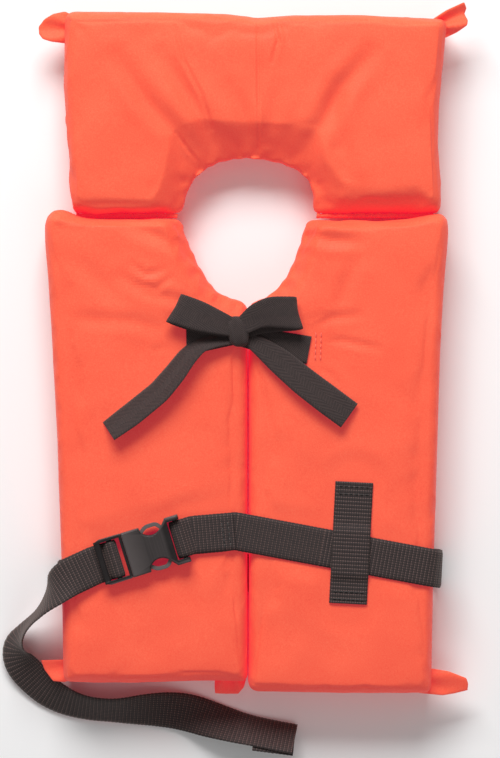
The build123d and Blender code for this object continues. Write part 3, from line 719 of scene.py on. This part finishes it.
def bow():
    """The two loops, two tails, two sewn anchors and the knot of the neck tie."""
    tape("tie_left_loop", [
        (-13, 14, 43.8, 92, 0, 11), (-23, 17.5, 43.6, 82, 0, 14.5), (-35, 21.5, 43.6, 70, 0, 19),
        (-49.5, 27, 44, 60, 0, 20), (-53, 28.8, 46.6, 58, 0, 20.5), (-50, 28.4, 49.6, 59, 0, 20.5),
        (-35, 23.2, 50.6, 68, -4, 20), (-23, 19.2, 50, 80, -6, 16), (-12.5, 15.6, 48.6, 92, 0, 12),
    ], "tie_loop_left")
    tape("tie_right_loop", [
        (-5, 14, 43.8, 92, 0, 11), (2, 18.5, 43.6, 96, 0, 15), (10, 22, 43.6, 98, 0, 19),
        (28, 24, 44, 104, 0, 20.5), (31.6, 25.2, 46.8, 105, 0, 21), (28.4, 25.6, 49.8, 104, 0, 21.5),
        (12, 26.2, 51.2, 94, 5, 20.5), (3, 23.6, 50.8, 100, 8, 17), (-6.5, 17, 48.8, 104, 0, 12),
    ], "tie_loop_right")
    tape("tie_left_anchor", [
        (-44, 8, 40.9, 96, 0, 17), (-34, 8.2, 40.9, 94, 0, 17), (-22, 9.4, 41, 90, 0, 14),
        (-12, 10.5, 41.2, 90, 0, 12),
    ], "tie_anchor_left")
    tape("tie_right_anchor", [
        (-8.5, 9.5, 41.2, 86, 0, 12), (4, 7.5, 41, 84, 0, 15), (20, 4, 40.9, 84, 0, 18),
        (37.6, 0.8, 40.9, 87, 0, 18.5),
    ], "tie_anchor_right")
    tape("tie_left_tail", [
        (-13.5, 9.5, 43.8, 96, -30, 10), (-25, 7.4, 44.4, 98, -40, 12), (-35, 4.4, 45.2, 116, -44, 14),
        (-43.5, -3.6, 46, 142, -42, 17), (-51.5, -14.6, 46.4, 146, -40, 18.5),
        (-62, -27, 46.2, 138, -38, 19), (-80.5, -42, 45.8, 130, -36, 19), (-95.6, -52.8, 45.2, 127, -38, 18),
    ], "tie_tail_left")
    tape("tie_right_tail", [
        (-2.5, 8, 43.8, 70, -6, 9), (6, 2.8, 44, 52, -8, 13), (18, -6.4, 44.8, 52, -12, 17.5),
        (34, -20, 45.8, 50, -16, 19.5), (49, -31.4, 46, 48, -15, 20), (64.2, -42.6, 45, 44, -12, 19.5),
    ], "tie_tail_right")
    knot()


KNOT_CENTRE = np.array([-9.7, 13.2, 46.4])  # mm
KNOT_HALF = (6.9, 10.2, 4.9)  # mm: half its width, its length and its depth
KNOT_POLE = np.array([-1.3, 9.3, 0.0])  # mm from its centre to the middle of its upper end
KNOT_RINGS, KNOT_SIDES = 44, 40


def knot_point(x, y, z):
    """A point of the knot's skin from one of a unit ball: squarer, leaning, and wavy with folds."""
    wide = KNOT_HALF[0] * (1 + 0.10 * y * y) * copysign(abs(x) ** 0.8, x)
    long = KNOT_HALF[1] * copysign(abs(y) ** 0.85, y)
    deep = KNOT_HALF[2] * copysign(abs(z) ** 0.75, z)
    fold = 0.75 * sin(x * 7.5 + y * 1.8) + 0.22 * sin(x * 19 + 1.3)
    lean = 1.3 * y
    return KNOT_CENTRE + (wide - lean, long, deep * (1 + 0.1 * fold) + fold * 0.5)


def knot():
    """The knot: a tape wrapped twice round the loops' feet, pinched and creased."""
    verts = []
    for i in range(1, KNOT_RINGS):
        lat = pi * i / KNOT_RINGS
        for j in range(KNOT_SIDES):
            lon = 2 * pi * j / KNOT_SIDES
            x, z = sin(lat) * cos(lon), sin(lat) * sin(lon)
            verts.append(knot_point(x, cos(lat), z))
    top, bottom = len(verts), len(verts) + 1
    verts += [KNOT_CENTRE + KNOT_POLE, KNOT_CENTRE - KNOT_POLE]
    faces = ring_faces(KNOT_RINGS - 1, KNOT_SIDES)
    last = (KNOT_RINGS - 2) * KNOT_SIDES
    for j in range(KNOT_SIDES):
        after = (j + 1) % KNOT_SIDES
        faces.append((top, after, j))
        faces.append((bottom, last + j, last + after))
    core = mesh_object("tie_knot_core", np.array(verts) * MM, faces)
    write_uvs(core, points_of(core)[:, [1, 0]] / CM + 5)
    finish_piece(core, "tie_tape", "tie_knot", rides="front")


bow()

# ---- padded panels
SIDE_ROUND = 7.0 * MM  # how far in from the seam the pad reaches its full thickness
FLAT = 0.25  # how much of the bulge above the foam is left
BULGE_CAP = 1.2 * MM
SINK = 1.0 * MM  # how far the cover may sink below its drawn shape
PINNED = 2.4 * MM  # cloth this close to the seam's level is held
NECK_RUN = 12 * MM  # from the neck to the front pads' full thickness
UNDER_RUN = 16 * MM  # and to the full depth of their lower side
PAD_STEP, PAD_VOXEL = 3.4 * MM, 3.6 * MM
CLOTH_FRAMES = 20
FINE = 1.6  # mm, width under which a crease needs a finer mesh
NECK_CENTRE = (-3.5, 84.0)
COLLAR_FOLD_EDGE = 92.6 * MM
FOLD_RUN_LEFT, FOLD_RUN_RIGHT = 11.0, 24.0  # mm that the collar takes to reach its full thickness

LEFT_NECK = [
    (-3.2, 31.6), (-10.5, 35), (-21, 38), (-26.8, 43.2), (-31.7, 50.5), (-36.3, 58.5),
    (-40.6, 67), (-44.4, 76), (-46.8, 84), (-47.4, 88.5),
]
LEFT_OUTLINE = LEFT_NECK + [
    (-58, 89), (-80, 88.6), (-104, 88.8), (-117, 90.4), (-123, 94), (-131, 95.4), (-136.6, 92),
    (-138.9, 85), (-138.7, 72), (-136.8, 50), (-134.4, 12), (-130.6, -60), (-127.9, -140), (-127.6, -160),
    (-126.4, -220.6), (-80, -221.4), (-30, -219.6), (-3.2, -220.6),
]
RIGHT_NECK = [
    (-2.8, 31.6), (5, 34.8), (13, 38.8), (19.5, 45.5), (24.5, 53.5), (28.3, 62), (31.6, 72), (34.4, 82),
    (36.6, 88.5),
]
RIGHT_OUTLINE = RIGHT_NECK + [
    (48, 88), (64, 87), (84, 87.2), (104, 88.8), (118, 91.4), (126, 93), (130.4, 88), (131, 80),
    (130, 68), (127.8, 40), (125.6, 0), (123.2, -80), (121, -150), (119.4, -228), (60, -228.2),
    (-2.8, -226.8),
]
COLLAR_NECK = [
    (39.8, 92.6), (40.6, 99), (40.3, 107), (37.6, 114.6), (31.5, 120.2), (24, 124), (10, 127.8),
    (-3.7, 129.4), (-14, 128.4), (-23.5, 126), (-31, 122), (-38.5, 116.4), (-43, 108), (-45.6, 99),
    (-47, 92.6),
]
COLLAR_OUTLINE = [
    (-120.4, 92.6), (-121.6, 122), (-124, 146), (-126.2, 176), (-125.8, 205), (-125.2, 227),
    (-60, 226.8), (-20, 225.8), (3.5, 222.6), (24, 224.8), (70, 225), (130, 222), (127.6, 196),
    (124.8, 165), (124, 140), (125.8, 112), (126, 92.6), *COLLAR_NECK,
]
# the collar's foam stops at a straight-sided cut round the neck, and the cover slopes down from it
COLLAR_FOAM_CUT = [
    (-74, 84), (-60, 112), (-51.5, 145), (-33.5, 154.5), (4, 152), (43, 147.6), (50.5, 126), (70, 96),
    (74, 84),
]
# (plan line, depth, width) of the soft pleats that fan out from the collar's neck
COLLAR_PLEATS = [
    ([(-90, 196), (-72, 168), (-52, 146), (-47, 130)], 2.6, 6),
    ([(-61, 198), (-45, 173), (-33, 156), (-27, 140)], 2.4, 5.5),
    ([(-51, 216), (-46, 194), (-34, 171), (-27, 148)], 0.9, 1.5),
    ([(3.4, 223), (3.6, 180), (4.2, 130)], 1, 0.9),
    ([(-14, 176), (-6, 158), (-1, 140)], 1.5, 5),
    ([(17, 176), (14, 158), (9, 140)], 1.3, 5),
    ([(79, 199), (60, 176), (44, 149), (38, 132)], 2.4, 6),
    ([(55, 176), (55, 150), (64, 118), (72, 98)], 2, 7),
    ([(14.5, 221), (17, 207), (13, 192)], 0.9, 1.5),
    ([(20, 221), (24, 205)], 0.8, 2),
    ([(-50.7, 145.5), (-42, 133), (-36, 126)], 0.8, 1.4),
]
LEFT_CREASES = [
    ([(-82, 84), (-62, 76), (-44, 68)], 2, 5),
    ([(-80, 58), (-71, 51), (-60, 54)], 0.7, 2.6),
    ([(-74, 45), (-64, 42), (-54, 49)], 0.7, 2.6),
    ([(-128, 66), (-108, 52), (-88, 34)], 0.9, 7),
    ([(-137, 91.5), (-128, 91), (-117, 87)], 1.6, 2.4),
    ([(-88, 50), (-70, 39), (-40, 32)], 1, 4),
    ([(-120, 22), (-80, 20), (-58, 14)], 0.9, 5),
    ([(-64, 1), (-52, 3), (-44, 8)], 0.8, 3),
    ([(-9, 26), (-24, 31), (-34, 36)], 1, 3),
]
RIGHT_CREASES = [
    ([(36, 78), (52, 74), (70, 73)], 1.8, 4.5),
    ([(69, 60), (62, 44), (58, 30)], 0.9, 5),
    ([(40, 16), (52, 22), (70, 24)], 0.9, 3.5),
    ([(46, 6), (60, 7), (84, 2)], 0.7, 3),
    ([(42, -9), (52, -16), (60, -26)], 0.7, 3),
    ([(6, 28), (14, 33), (20, 42)], 1, 3),
]


def inward_normals(edge, step):
    """Directions square to a closed outline, towards its inside."""
    run = np.roll(edge, -1, 0) - np.roll(edge, 1, 0)
    normals = unit(np.stack([-run[:, 1], run[:, 0]], axis=1))
    return normals if inside(edge[:1] + normals[:1] * 0.2 * step, edge)[0] else -normals


def plan_mesh(edge, step):
    """Triangles inside a closed outline, finer along it: points, triangles and distances in from it."""
    low, high = edge.min(0), edge.max(0)
    xs = np.arange(low[0], high[0], step)
    ys = np.arange(low[1], high[1], step)
    grid = np.stack(np.meshgrid(xs, ys), axis=-1).reshape(-1, 2)
    closed = looped(edge)
    keep = inside(grid, edge) & (near_line(grid, closed)[0] > 0.6 * step)
    normals = inward_normals(edge, step)
    rings = []
    for share in (0.12, 0.32):
        ring = edge + normals * step * share
        rings.append(ring[inside(ring, edge) & (near_line(ring, closed)[0] > 0.8 * share * step)])
    plan = np.vstack([edge, *rings, grid[keep]])
    result = geometry.delaunay_2d_cdt([Vector(p) for p in plan], [], [list(range(len(edge)))], 1, 1e-7)
    pts = np.array([tuple(v) for v in result[0]])
    return pts, [tuple(f) for f in result[2]], near_line(pts, closed)[0]


def shell_object(name, verts, faces):
    """A smooth mesh object with its faces turned outwards and its unused points dropped."""
    bm = bmesh.new()
    rows = [bm.verts.new(v) for v in verts]
    for face in faces:
        try:
            bm.faces.new([rows[v] for v in face])
        except ValueError:  # a triangle with all its corners on the rim has no second side
            continue
    bmesh.ops.delete(bm, geom=[v for v in bm.verts if not v.link_faces], context="VERTS")
    bmesh.ops.recalc_face_normals(bm, faces=bm.faces)
    data = bpy.data.meshes.new(name)
    bm.to_mesh(data)
    bm.free()
    shade_smooth(data)
    return link(name, data)


def sheets(name, outline, rise, step, middle=None):
    """A closed shell on an outline, with rise(points, distance in) above and below its middle surface."""
    pts, tris, d = plan_mesh(resample(outline, step, closed=True), step)
    up, down = rise(pts, d)
    rim = d < 1e-6
    up[rim] = down[rim] = 0
    level = middle(pts) if middle else SEAM_Z
    top = np.column_stack([pts, level + up])
    bottom = np.column_stack([pts, level - down])
    twin = np.arange(len(pts)) + len(pts)
    twin[rim] = np.nonzero(rim)[0]
    faces = tris + [tuple(int(twin[v]) for v in reversed(f)) for f in tris]
    return shell_object(name, np.vstack([top, bottom]), faces)


def rounded(d, run, power=2.4):
    """Share of the full height at this distance in from the edge."""
    t = 1 - np.clip(d / run, 0, 1)
    return (1 - t**power) ** (1 / power)


def voxel(obj, size):
    """Even quads all over, by a voxel remesh."""
    modifier = obj.modifiers.new("voxel", "REMESH")
    modifier.mode = "VOXEL"
    modifier.voxel_size = size
    apply_modifiers(obj)


CLOTH = {
    "quality": 6, "mass": 0.25, "tension_stiffness": 30, "compression_stiffness": 30, "shear_stiffness": 12,
    "bending_stiffness": 0.35, "use_pressure": True, "uniform_pressure_force": 4,
    "vertex_group_mass": "seam", "pin_stiffness": 1.0,
}


def simulate(obj, slack, limit):
    """Inflates the pad as cloth with a little more fabric than its shape needs, held at its seam."""
    start = points_of(obj)
    held = obj.vertex_groups.new(name="seam")
    at_seam = np.nonzero(np.abs(start[:, 2] - SEAM_Z) < PINNED)[0]
    held.add([int(v) for v in at_seam], 1.0, "REPLACE")
    modifier = obj.modifiers.new("cloth", "CLOTH")
    settings = modifier.settings
    for name, value in CLOTH.items():
        setattr(settings, name, value)
    settings.effector_weights.gravity = 0
    settings.shrink_min = -slack
    settings.shrink_max = -slack
    modifier.collision_settings.use_collision = False
    for k in range(1, CLOTH_FRAMES + 1):
        scene.frame_set(k)
    apply_modifiers(obj)
    scene.frame_set(1)
    moved = points_of(obj) - start
    far = np.linalg.norm(moved, axis=1)
    share = np.where(far > limit, limit / np.maximum(far, 1e-9), 1.0)
    set_points(obj, start + moved * share[:, None])


def crease(co, upper, line, depth, width):
    """Presses a soft valley along a plan line into the pad's upper face, with a ridge on each side."""
    d, share, _ = near_line(co, np.array(line) * MM)
    t = d / (width * MM)
    fade = np.sin(np.pi * np.clip(share * 0.86 + 0.07, 0, 1)) ** 0.7
    co[:, 2] += upper * fade * depth * MM * (0.45 * np.exp(-((t - 1.7) ** 2)) - np.exp(-t * t))


# (plan line in mm, half width, lowest z) of what lies on the pads and presses them flat
PRESSED = [
    ([(126, -145), (115, -143), (-11.7, -119.3), (-21, -120.6), on_buckle(40, 0)[:2]], 13.2, 40),
    ([on_buckle(-26, 0)[:2], on_buckle(76, 0)[:2]], 17.6, 40),
    ([(-134, -154), (-121.8, -149.8), (-112, -145.3), on_buckle(-18, 0)[:2]], 13.4, 40),
    ([on_keeper(-40), on_keeper(40)], 13.2, 39.9),
    ([(-44, 7), (-11, 9), (38, 1)], 10.5, 40),
    ([(41.5, -6), (42, 13)], 4, 40.5),
    ([(45, -6), (45.5, 13)], 4, 40.5),
    ([(-17, 9), (-37, 5), (-58, -21), (-95.7, -53)], 8, 40.2),
    ([(-2.4, 5), (18.3, -7), (38, -22.5), (64.3, -42.3)], 9.5, 40.9),
]
PRESS_FALL = 13.0 * MM  # the pad rises back beside a strap over this distance
FLOOR_GAP = 0.25 * MM
BACK_BELT = [(-140, -152.7), (140, -144.6)]  # plan line in mm of the belt under the back
BACK_BELT_HALF, BACK_BELT_TOP, BACK_BELT_FALL = 13.0 * MM, 2.4 * MM, 3 * MM


def settle(co):
    """Presses the cover down under the straps, and keeps it clear of the floor and of the back belt."""
    z = co[:, 2]
    for line, half, level in PRESSED:
        d, _, _ = near_line(co, np.array(line) * MM)
        z -= np.maximum(z - level * MM, 0) * ease(1 - (d - half * MM) / PRESS_FALL)
    d, _, _ = near_line(co, np.array(BACK_BELT) * MM)
    over_belt = BACK_BELT_TOP * ease(1 - (d - BACK_BELT_HALF) / BACK_BELT_FALL)
    z[:] = np.maximum(np.maximum(z, FLOOR_GAP), over_belt)


def gathers(at):
    """The small waves of the cloth at this many millimetres along the neck, from -1 to 1."""
    return np.sin(2 * np.pi * at / 10.5 + 1.1 * np.sin(at / 13))


def neck_scallops(outline, neck):
    """The neck part of an outline drawn into small gathers."""
    pts = resample(outline, 1.6, closed=True)
    d, share, _ = near_line(pts, neck)
    at = share * span_lengths(np.array(neck)).sum()
    pull = 0.55 * gathers(at) + 0.35 * np.sin(2 * np.pi * at / 6.3 + 2)
    outwards = unit(pts - NECK_CENTRE)
    near = ease(1 - d / 1.2) * ease(share * 12) * ease((1 - share) * 12)
    return pts + outwards * (pull * near)[:, None]


def collar_shares(pts, from_neck, neck_line):
    """Shares of the collar's upper height, on its slope to the neck and beside its fold."""
    cut = np.array(COLLAR_FOAM_CUT) * MM
    to_cut, _, _ = near_line(pts, cut)
    band = (from_neck + 1e-6) / (from_neck + to_cut + 1e-6)
    in_band = inside(pts, np.vstack([cut, neck_line]))
    slope = np.where(in_band, np.minimum(1, 0.16 + 0.84 * band**0.9), 1.0)
    x, y = pts[:, 0] / MM, pts[:, 1] - COLLAR_FOLD_EDGE
    run = FOLD_RUN_LEFT + (FOLD_RUN_RIGHT - FOLD_RUN_LEFT) * ease((x - 20) / 20) * ease((122 - x) / 14)
    return slope, rounded(y, run * MM, 2.0)


def pad_heights(pts, d, neck_line, is_collar):
    """How far a pad's faces stand above and below its seam, at this distance in from it."""
    from_neck, _, _ = near_line(pts, neck_line)
    up = rounded(d, SIDE_ROUND)
    if is_collar:
        slope, by_fold = collar_shares(pts, from_neck, neck_line)
        up = np.minimum(up, by_fold)
    else:
        slope = 0.30 + 0.70 * ease(from_neck / NECK_RUN)
    down = SEAM_Z * rounded(d, 0.75 * SIDE_ROUND)
    return SEAM_Z * up * slope, down * np.minimum(1, 0.35 + 0.65 * ease(from_neck / UNDER_RUN))


def lay_on_foam(obj, plan, rise):
    """Draws the inflated cover's rim back to its outline, and its faces back to the foam."""
    co = points_of(obj)
    closed = looped(plan)
    d, _, rim = near_line(co, closed)
    pull = ease(1 - np.abs(co[:, 2] - SEAM_Z) / (8 * MM)) * ease(2 - d / (3 * MM))
    co[:, :2] += (rim - co[:, :2]) * pull[:, None]
    up, down = rise(co[:, :2], d * inside(co, closed))
    z = co[:, 2]
    over = z - TOP_Z
    z[:] = np.where(over > 0, TOP_Z + BULGE_CAP * (1 - np.exp(-over * FLAT / BULGE_CAP)), z)
    above = z > SEAM_Z
    least = np.where(above, SEAM_Z + up - SINK, SEAM_Z - down + SINK)
    z[:] = np.where(above, np.maximum(z, least), np.minimum(z, least))
    set_points(obj, co)


def refine(obj, lines):
    """Subdivides the cover, and again near fine crease lines on its upper side, to keep them sharp."""
    sub = obj.modifiers.new("finer", "SUBSURF")
    sub.levels = sub.render_levels = 1
    apply_modifiers(obj)
    if not lines:
        return
    co = points_of(obj)
    near = np.zeros(len(co), bool)
    for line in lines:
        near |= near_line(co, np.array(line) * MM)[0] < 4.5 * MM
    near &= co[:, 2] > SEAM_Z
    bm = bmesh.new()
    bm.from_mesh(obj.data)
    bm.verts.ensure_lookup_table()
    edges = [e for e in bm.edges if near[e.verts[0].index] and near[e.verts[1].index]]
    bmesh.ops.subdivide_edges(bm, edges=edges, cuts=1, use_grid_fill=True)
    bm.to_mesh(obj.data)
    bm.free()
    shade_smooth(obj.data)


def wrinkle(obj, creases, neck_line, seed):
    """Creases the upper face, ripples it, gathers it round the neck, and settles it."""
    co = points_of(obj)
    upper = ease((co[:, 2] - SEAM_Z) / (10 * MM))
    for line, depth, width in creases:
        crease(co, upper, line, depth, width)
    soft = ripple(co, 26.0, seed) * 0.6 + ripple(co, 60.0, seed + 3) * 0.25
    co[:, 2] += upper * soft * MM
    d, share, _ = near_line(co, neck_line)
    waves_up = gathers(share * span_lengths(neck_line).sum() / MM)
    co[:, 2] += upper * waves_up * 0.9 * MM * ease(1 - d / (15 * MM)) * ease(d / (3 * MM))
    settle(co)
    set_points(obj, co)


def build_pad(name, outline, neck, creases, slack, limit, is_collar=False):
    """One stuffed panel: shaped over its foam, inflated as cloth, then creased and settled."""
    plan = neck_scallops(cut_corners(outline), neck) * MM
    neck_line = np.array(neck) * MM

    def rise(pts, d):
        return pad_heights(pts, d, neck_line, is_collar)

    obj = sheets(name, plan, rise, PAD_STEP)
    voxel(obj, PAD_VOXEL)
    simulate(obj, slack, limit)
    lay_on_foam(obj, plan, rise)
    refine(obj, [line for line, _, width in creases if width < FINE])
    wrinkle(obj, creases, neck_line, len(name))
    return obj


def panels():
    """The three stuffed panels."""
    left = build_pad("front_left_shell", LEFT_OUTLINE, LEFT_NECK, LEFT_CREASES, 0.02, 6 * MM)
    right = build_pad("front_right_shell", RIGHT_OUTLINE, RIGHT_NECK, RIGHT_CREASES, 0.02, 6 * MM)
    collar = build_pad("collar_shell", COLLAR_OUTLINE, COLLAR_NECK, COLLAR_PLEATS, 0.03, 7 * MM, True)
    for obj, side in ((left, "front_left"), (right, "front_right"), (collar, "collar")):
        finish_piece(obj, "cover_fabric", f"{side}_outer_cover", f"{side}_inner_cover")
    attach(left, "front")
    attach(right, "front")
    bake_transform(collar)


panels()

# ---- foam inside the panels
FOAM_PLANS = {
    "front_left": [
        (-9, 16), (-30, 24), (-46, 44), (-57, 66), (-62, 80), (-129, 82), (-130, 60), (-126, 10),
        (-119.5, -212), (-9, -212),
    ],
    "front_right": [
        (3, 16), (22, 24), (38, 44), (46, 64), (51, 78), (121, 80), (122, 60), (118, 0), (111.5, -219),
        (3, -219),
    ],
    "collar": [
        (-115, 106), (-117, 140), (-119, 180), (-118.5, 219), (3, 216), (122, 215), (118, 165), (117.5, 140),
        (119, 106), (72, 106), (54, 128), (46, 151), (4, 156), (-35, 158), (-55, 148), (-64, 112),
    ],
}
FOAM_LEVELS = {"inner": (4.2, 14.6), "middle": (15.1, 25.9), "outer": (26.4, 35.8)}


def foam_slab(panel, layer):
    """One cut sheet of foam with pressed, slightly wavy faces and softened edges."""
    low, high = (v * MM for v in FOAM_LEVELS[layer])
    half = (high - low) / 2
    seed = len(panel) + len(layer)

    def rise(pts, d):
        flat = np.column_stack([pts, np.zeros(len(pts))])
        wave = 1 + 0.02 * ripple(flat, 30.0, seed)
        soft = half * rounded(d, 1.6 * MM) * np.minimum(wave, 1.0)
        return soft, soft

    outline = np.array(FOAM_PLANS[panel]) * MM
    slab = sheets(f"{panel}_{layer}_foam_sheet", outline, rise, 6 * MM, lambda pts: (low + high) / 2)
    finish_piece(slab, "flotation_foam", f"{panel}_foam_{layer}")
    if panel == "collar":
        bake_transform(slab)
    else:
        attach(slab, "front")


for panel in FOAM_PLANS:
    for layer in FOAM_LEVELS:
        foam_slab(panel, layer)


# ---- fold bindings and stitches
def tube(centres, radius, sides=10):
    """Points and faces of a round cord through these centres."""
    forward = headings(centres)
    side = unit(np.cross(forward, (0.0, 0.0, 1.0)))
    up = np.cross(side, forward)
    verts = []
    for k in range(len(centres)):
        for j in range(sides):
            t = 2 * pi * j / sides
            verts.append(centres[k] + (side[k] * cos(t) + up[k] * sin(t)) * radius[k])
    return verts, tube_faces(len(centres), sides)


BINDING_SPANS = {"left": (-118.0, -50.0), "right": (43.0, 121.0)}
BINDING_RADIUS = 1.75
BINDING_Z = 20


def bindings():
    """The puckered strips of cover fabric that join the front pads to the collar."""
    for side, (start, end) in BINDING_SPANS.items():
        xs = np.arange(start, end + 0.1, 0.7)
        pucker = np.sin(xs * 0.9 + 1.2 * np.sin(xs * 0.31))
        ys, zs = FOLD_Y / MM + 0.25 * pucker, BINDING_Z + 0.5 * np.sin(xs * 0.23)
        radius = (BINDING_RADIUS + 0.28 * pucker + 0.12 * np.sin(xs * 2.3)) * MM
        verts, faces = tube(np.stack([xs, ys, zs], axis=1) * MM, radius)
        strip = mesh_object(f"fold_binding_strip_{side}", verts, faces)
        finish_piece(strip, "cover_fabric", f"fold_binding_{side}", rides="front")


STITCH_PITCH = 3.0
ANCHOR_PITCH = 3.2
STITCH_HALF = 1.25  # half a stitch's length
THREAD_RADIUS = 0.30
ROW_HALF = 10.5  # half a row's length across the webbing
KEEPER_ROW_Z = 41.75
LOOP_ROW_Z = OVER_Z + 0.8
ANCHOR_ROW_Z = 40.7


def stitches(name, rows, slot, node, bend=None):
    """Rows of bent thread stitches: each row is a start, an end (X, Y, Z in mm) and a pitch."""
    verts, faces = [], []
    for start, end, pitch in rows:
        start, end = np.array(start, float), np.array(end, float)
        length = np.linalg.norm(end - start)
        forward = (end - start) / length
        count = int(length // pitch)
        for k in range(count):
            t = np.linspace(-1, 1, 7)
            line = start + (end - start) * (k + 0.5) / count + forward * (t * STITCH_HALF)[:, None]
            line[:, 2] += 0.32 - 0.62 * t**4
            v, f = tube(line * MM, (THREAD_RADIUS - 0.08 * t**4) * MM, 8)
            faces += [tuple(i + len(verts) for i in face) for face in f]
            verts += v
    obj = mesh_object(name, verts, faces)
    finish_piece(obj, slot, node, rides=None if bend else "front")
    if bend:
        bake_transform(obj)


def row_across(x, y, z, heading):
    """A row of stitches across a strap of this heading, in degrees, centred on a point in mm."""
    a = radians(heading)
    ends = [(x - v * sin(a), y + v * cos(a), z) for v in (-ROW_HALF, ROW_HALF)]
    return (*ends, STITCH_PITCH)


def all_stitches():
    """Rows on the keeper's ends, at the belt's turn-back and beside the tie's right anchor."""
    rows = [row_across(*on_keeper(s), KEEPER_ROW_Z, KEEPER_TURN - 90) for s in (-37.5, -32.5, 32.5, 37.5)]
    stitches("keeper_thread", rows, "dark_thread", "keeper_stitching")
    a = radians(FOLD_BACK_HEADING)
    places = [(FOLD_BACK[0] - back * cos(a), FOLD_BACK[1] - back * sin(a)) for back in (4, 8)]
    rows = [row_across(*p, LOOP_ROW_Z, FOLD_BACK_HEADING) for p in places]
    stitches("belt_loop_thread", rows, "dark_thread", "belt_loop_stitching", LOOP_BEND)
    rows = [((x, -6.0, ANCHOR_ROW_Z), (x + 0.6, 13.0, ANCHOR_ROW_Z), ANCHOR_PITCH) for x in (41.5, 45.0)]
    stitches("tie_anchor_thread", rows, "orange_thread", "tie_anchor_stitching")


bindings()
all_stitches()


# ---- sewn corner ears
EAR_STEP = 1.3 * MM
EAR_ABOVE_SEAM = 1.5
EAR_HALF, EAR_ROUND = 1.1 * MM, 1.4 * MM


def ear(name, outline, root, pleats, lift, body):
    """A flap of doubled cover fabric: pleats fan out from its root, and its tip is raised or lowered."""

    def middle(pts):
        out = pts - np.array(root) * MM
        reach = np.linalg.norm(out, axis=1) / MM
        angle = np.arctan2(out[:, 1], out[:, 0])
        count, height, phase = pleats
        fan = height * np.sin(count * angle + phase) * ease(reach / 12)
        return (SEAM_Z / MM + EAR_ABOVE_SEAM + lift * ease(reach / 22) + fan) * MM

    def rise(pts, d):
        thick = EAR_HALF * rounded(d, EAR_ROUND)
        return thick, thick

    flap = sheets(name, np.array(outline) * MM, rise, EAR_STEP, middle)
    finish_piece(flap, "cover_fabric", rides=body)


def ears():
    """The four outer corners of the seams, and the turned corner by the gap."""
    ear("ear_top_left", [
        (-118, 224), (-125.5, 227.3), (-133, 225.5), (-139, 222), (-143, 217), (-142.6, 212), (-140, 208.6),
        (-134, 206.8), (-124, 205.8), (-118, 208),
    ], (-112, 214), (9, 1.3, 2.2), 2.5, "collar")
    ear("ear_top_right", [
        (112, 217), (121, 222.5), (129, 227.6), (141.2, 233.2), (142.9, 229.4), (141.6, 225.6), (143.7, 221),
        (143.2, 217.6), (137, 213.4), (129, 209.6), (120, 206),
    ], (112, 215), (12, 2.3, 0.4), 4.5, "collar")
    ear("ear_bottom_left", [
        (-118, -206), (-126, -205.8), (-141.6, -206.4), (-139, -213), (-133.4, -220.2), (-126, -221),
        (-118, -219),
    ], (-112, -210), (7, 1.2, 1), -2, "front")
    ear("ear_bottom_right", [
        (112, -210.5), (118, -211.6), (131, -213.6), (143, -218.2), (144.2, -222), (143.8, -226.4),
        (135, -228.6), (127, -229.8), (116, -228.6), (106, -227.6), (106, -218),
    ], (104, -219), (8, 1.4, 0.6), -1, "front")
    ear("corner_flap", [
        (-25.2, -214), (-25.4, -224), (-25, -228.2), (-17, -228.8), (-9.6, -228.6), (-5.6, -224),
        (-4.2, -218), (-12, -212),
    ], (-14, -206), (9, 1.6, 0.8), 0.5, "front")


ears()

# ---- CAD nodes that stay: new materials
for node, obj in frame["nodes"].items():
    if node.startswith(("buckle", "release")):
        for slot in obj.material_slots:
            slot.material = MATERIALS["buckle_plastic"]


# ---- floor and light
FLOOR_HALF, FLOOR_Z = 3, -0.5 * MM
LAMPS = {  # place, size and power
    "key": ((-0.35, 1.9, 1.6), (1.7, 1.0), 74),
    "fill": ((0.5, -1.3, 2.0), (1.6, 1.6), 7),
}
SKY_STRENGTH = 0.25


def pale_floor():
    """A plain pale paper floor."""
    corners = [(x * FLOOR_HALF, y * FLOOR_HALF, FLOOR_Z) for x, y in ((-1, -1), (1, -1), (1, 1), (-1, 1))]
    floor = mesh_object("floor", corners, [(0, 1, 2, 3)])
    material, tree, shader = new_material("floor_paper", (0.93, 0.93, 0.93), 0.9)
    set_inputs(tree, shader, {
        "Normal": bump(tree, grain(tree, 300, 4.0), 0.1 * MM, 0.3),
        "Specular IOR Level": 0.1,
    })
    floor.data.materials.append(material)


def lighting():
    """Soft light that comes mostly from beyond the collar, and a faint white sky."""
    for name, (centre, size, power) in LAMPS.items():
        data = bpy.data.lights.new(name, "AREA")
        data.shape = "RECTANGLE"
        data.size, data.size_y = size
        data.energy = power
        lamp = link(name, data)
        lamp.location = centre
        lamp.rotation_euler = (-Vector(centre)).to_track_quat("-Z", "Y").to_euler()
    world = bpy.data.worlds.new("world")
    scene.world = world
    world.use_nodes = True
    sky = world.node_tree.nodes["Background"]
    set_inputs(world.node_tree, sky, {"Color": (1, 1, 1, 1), "Strength": SKY_STRENGTH})


pale_floor()
lighting()
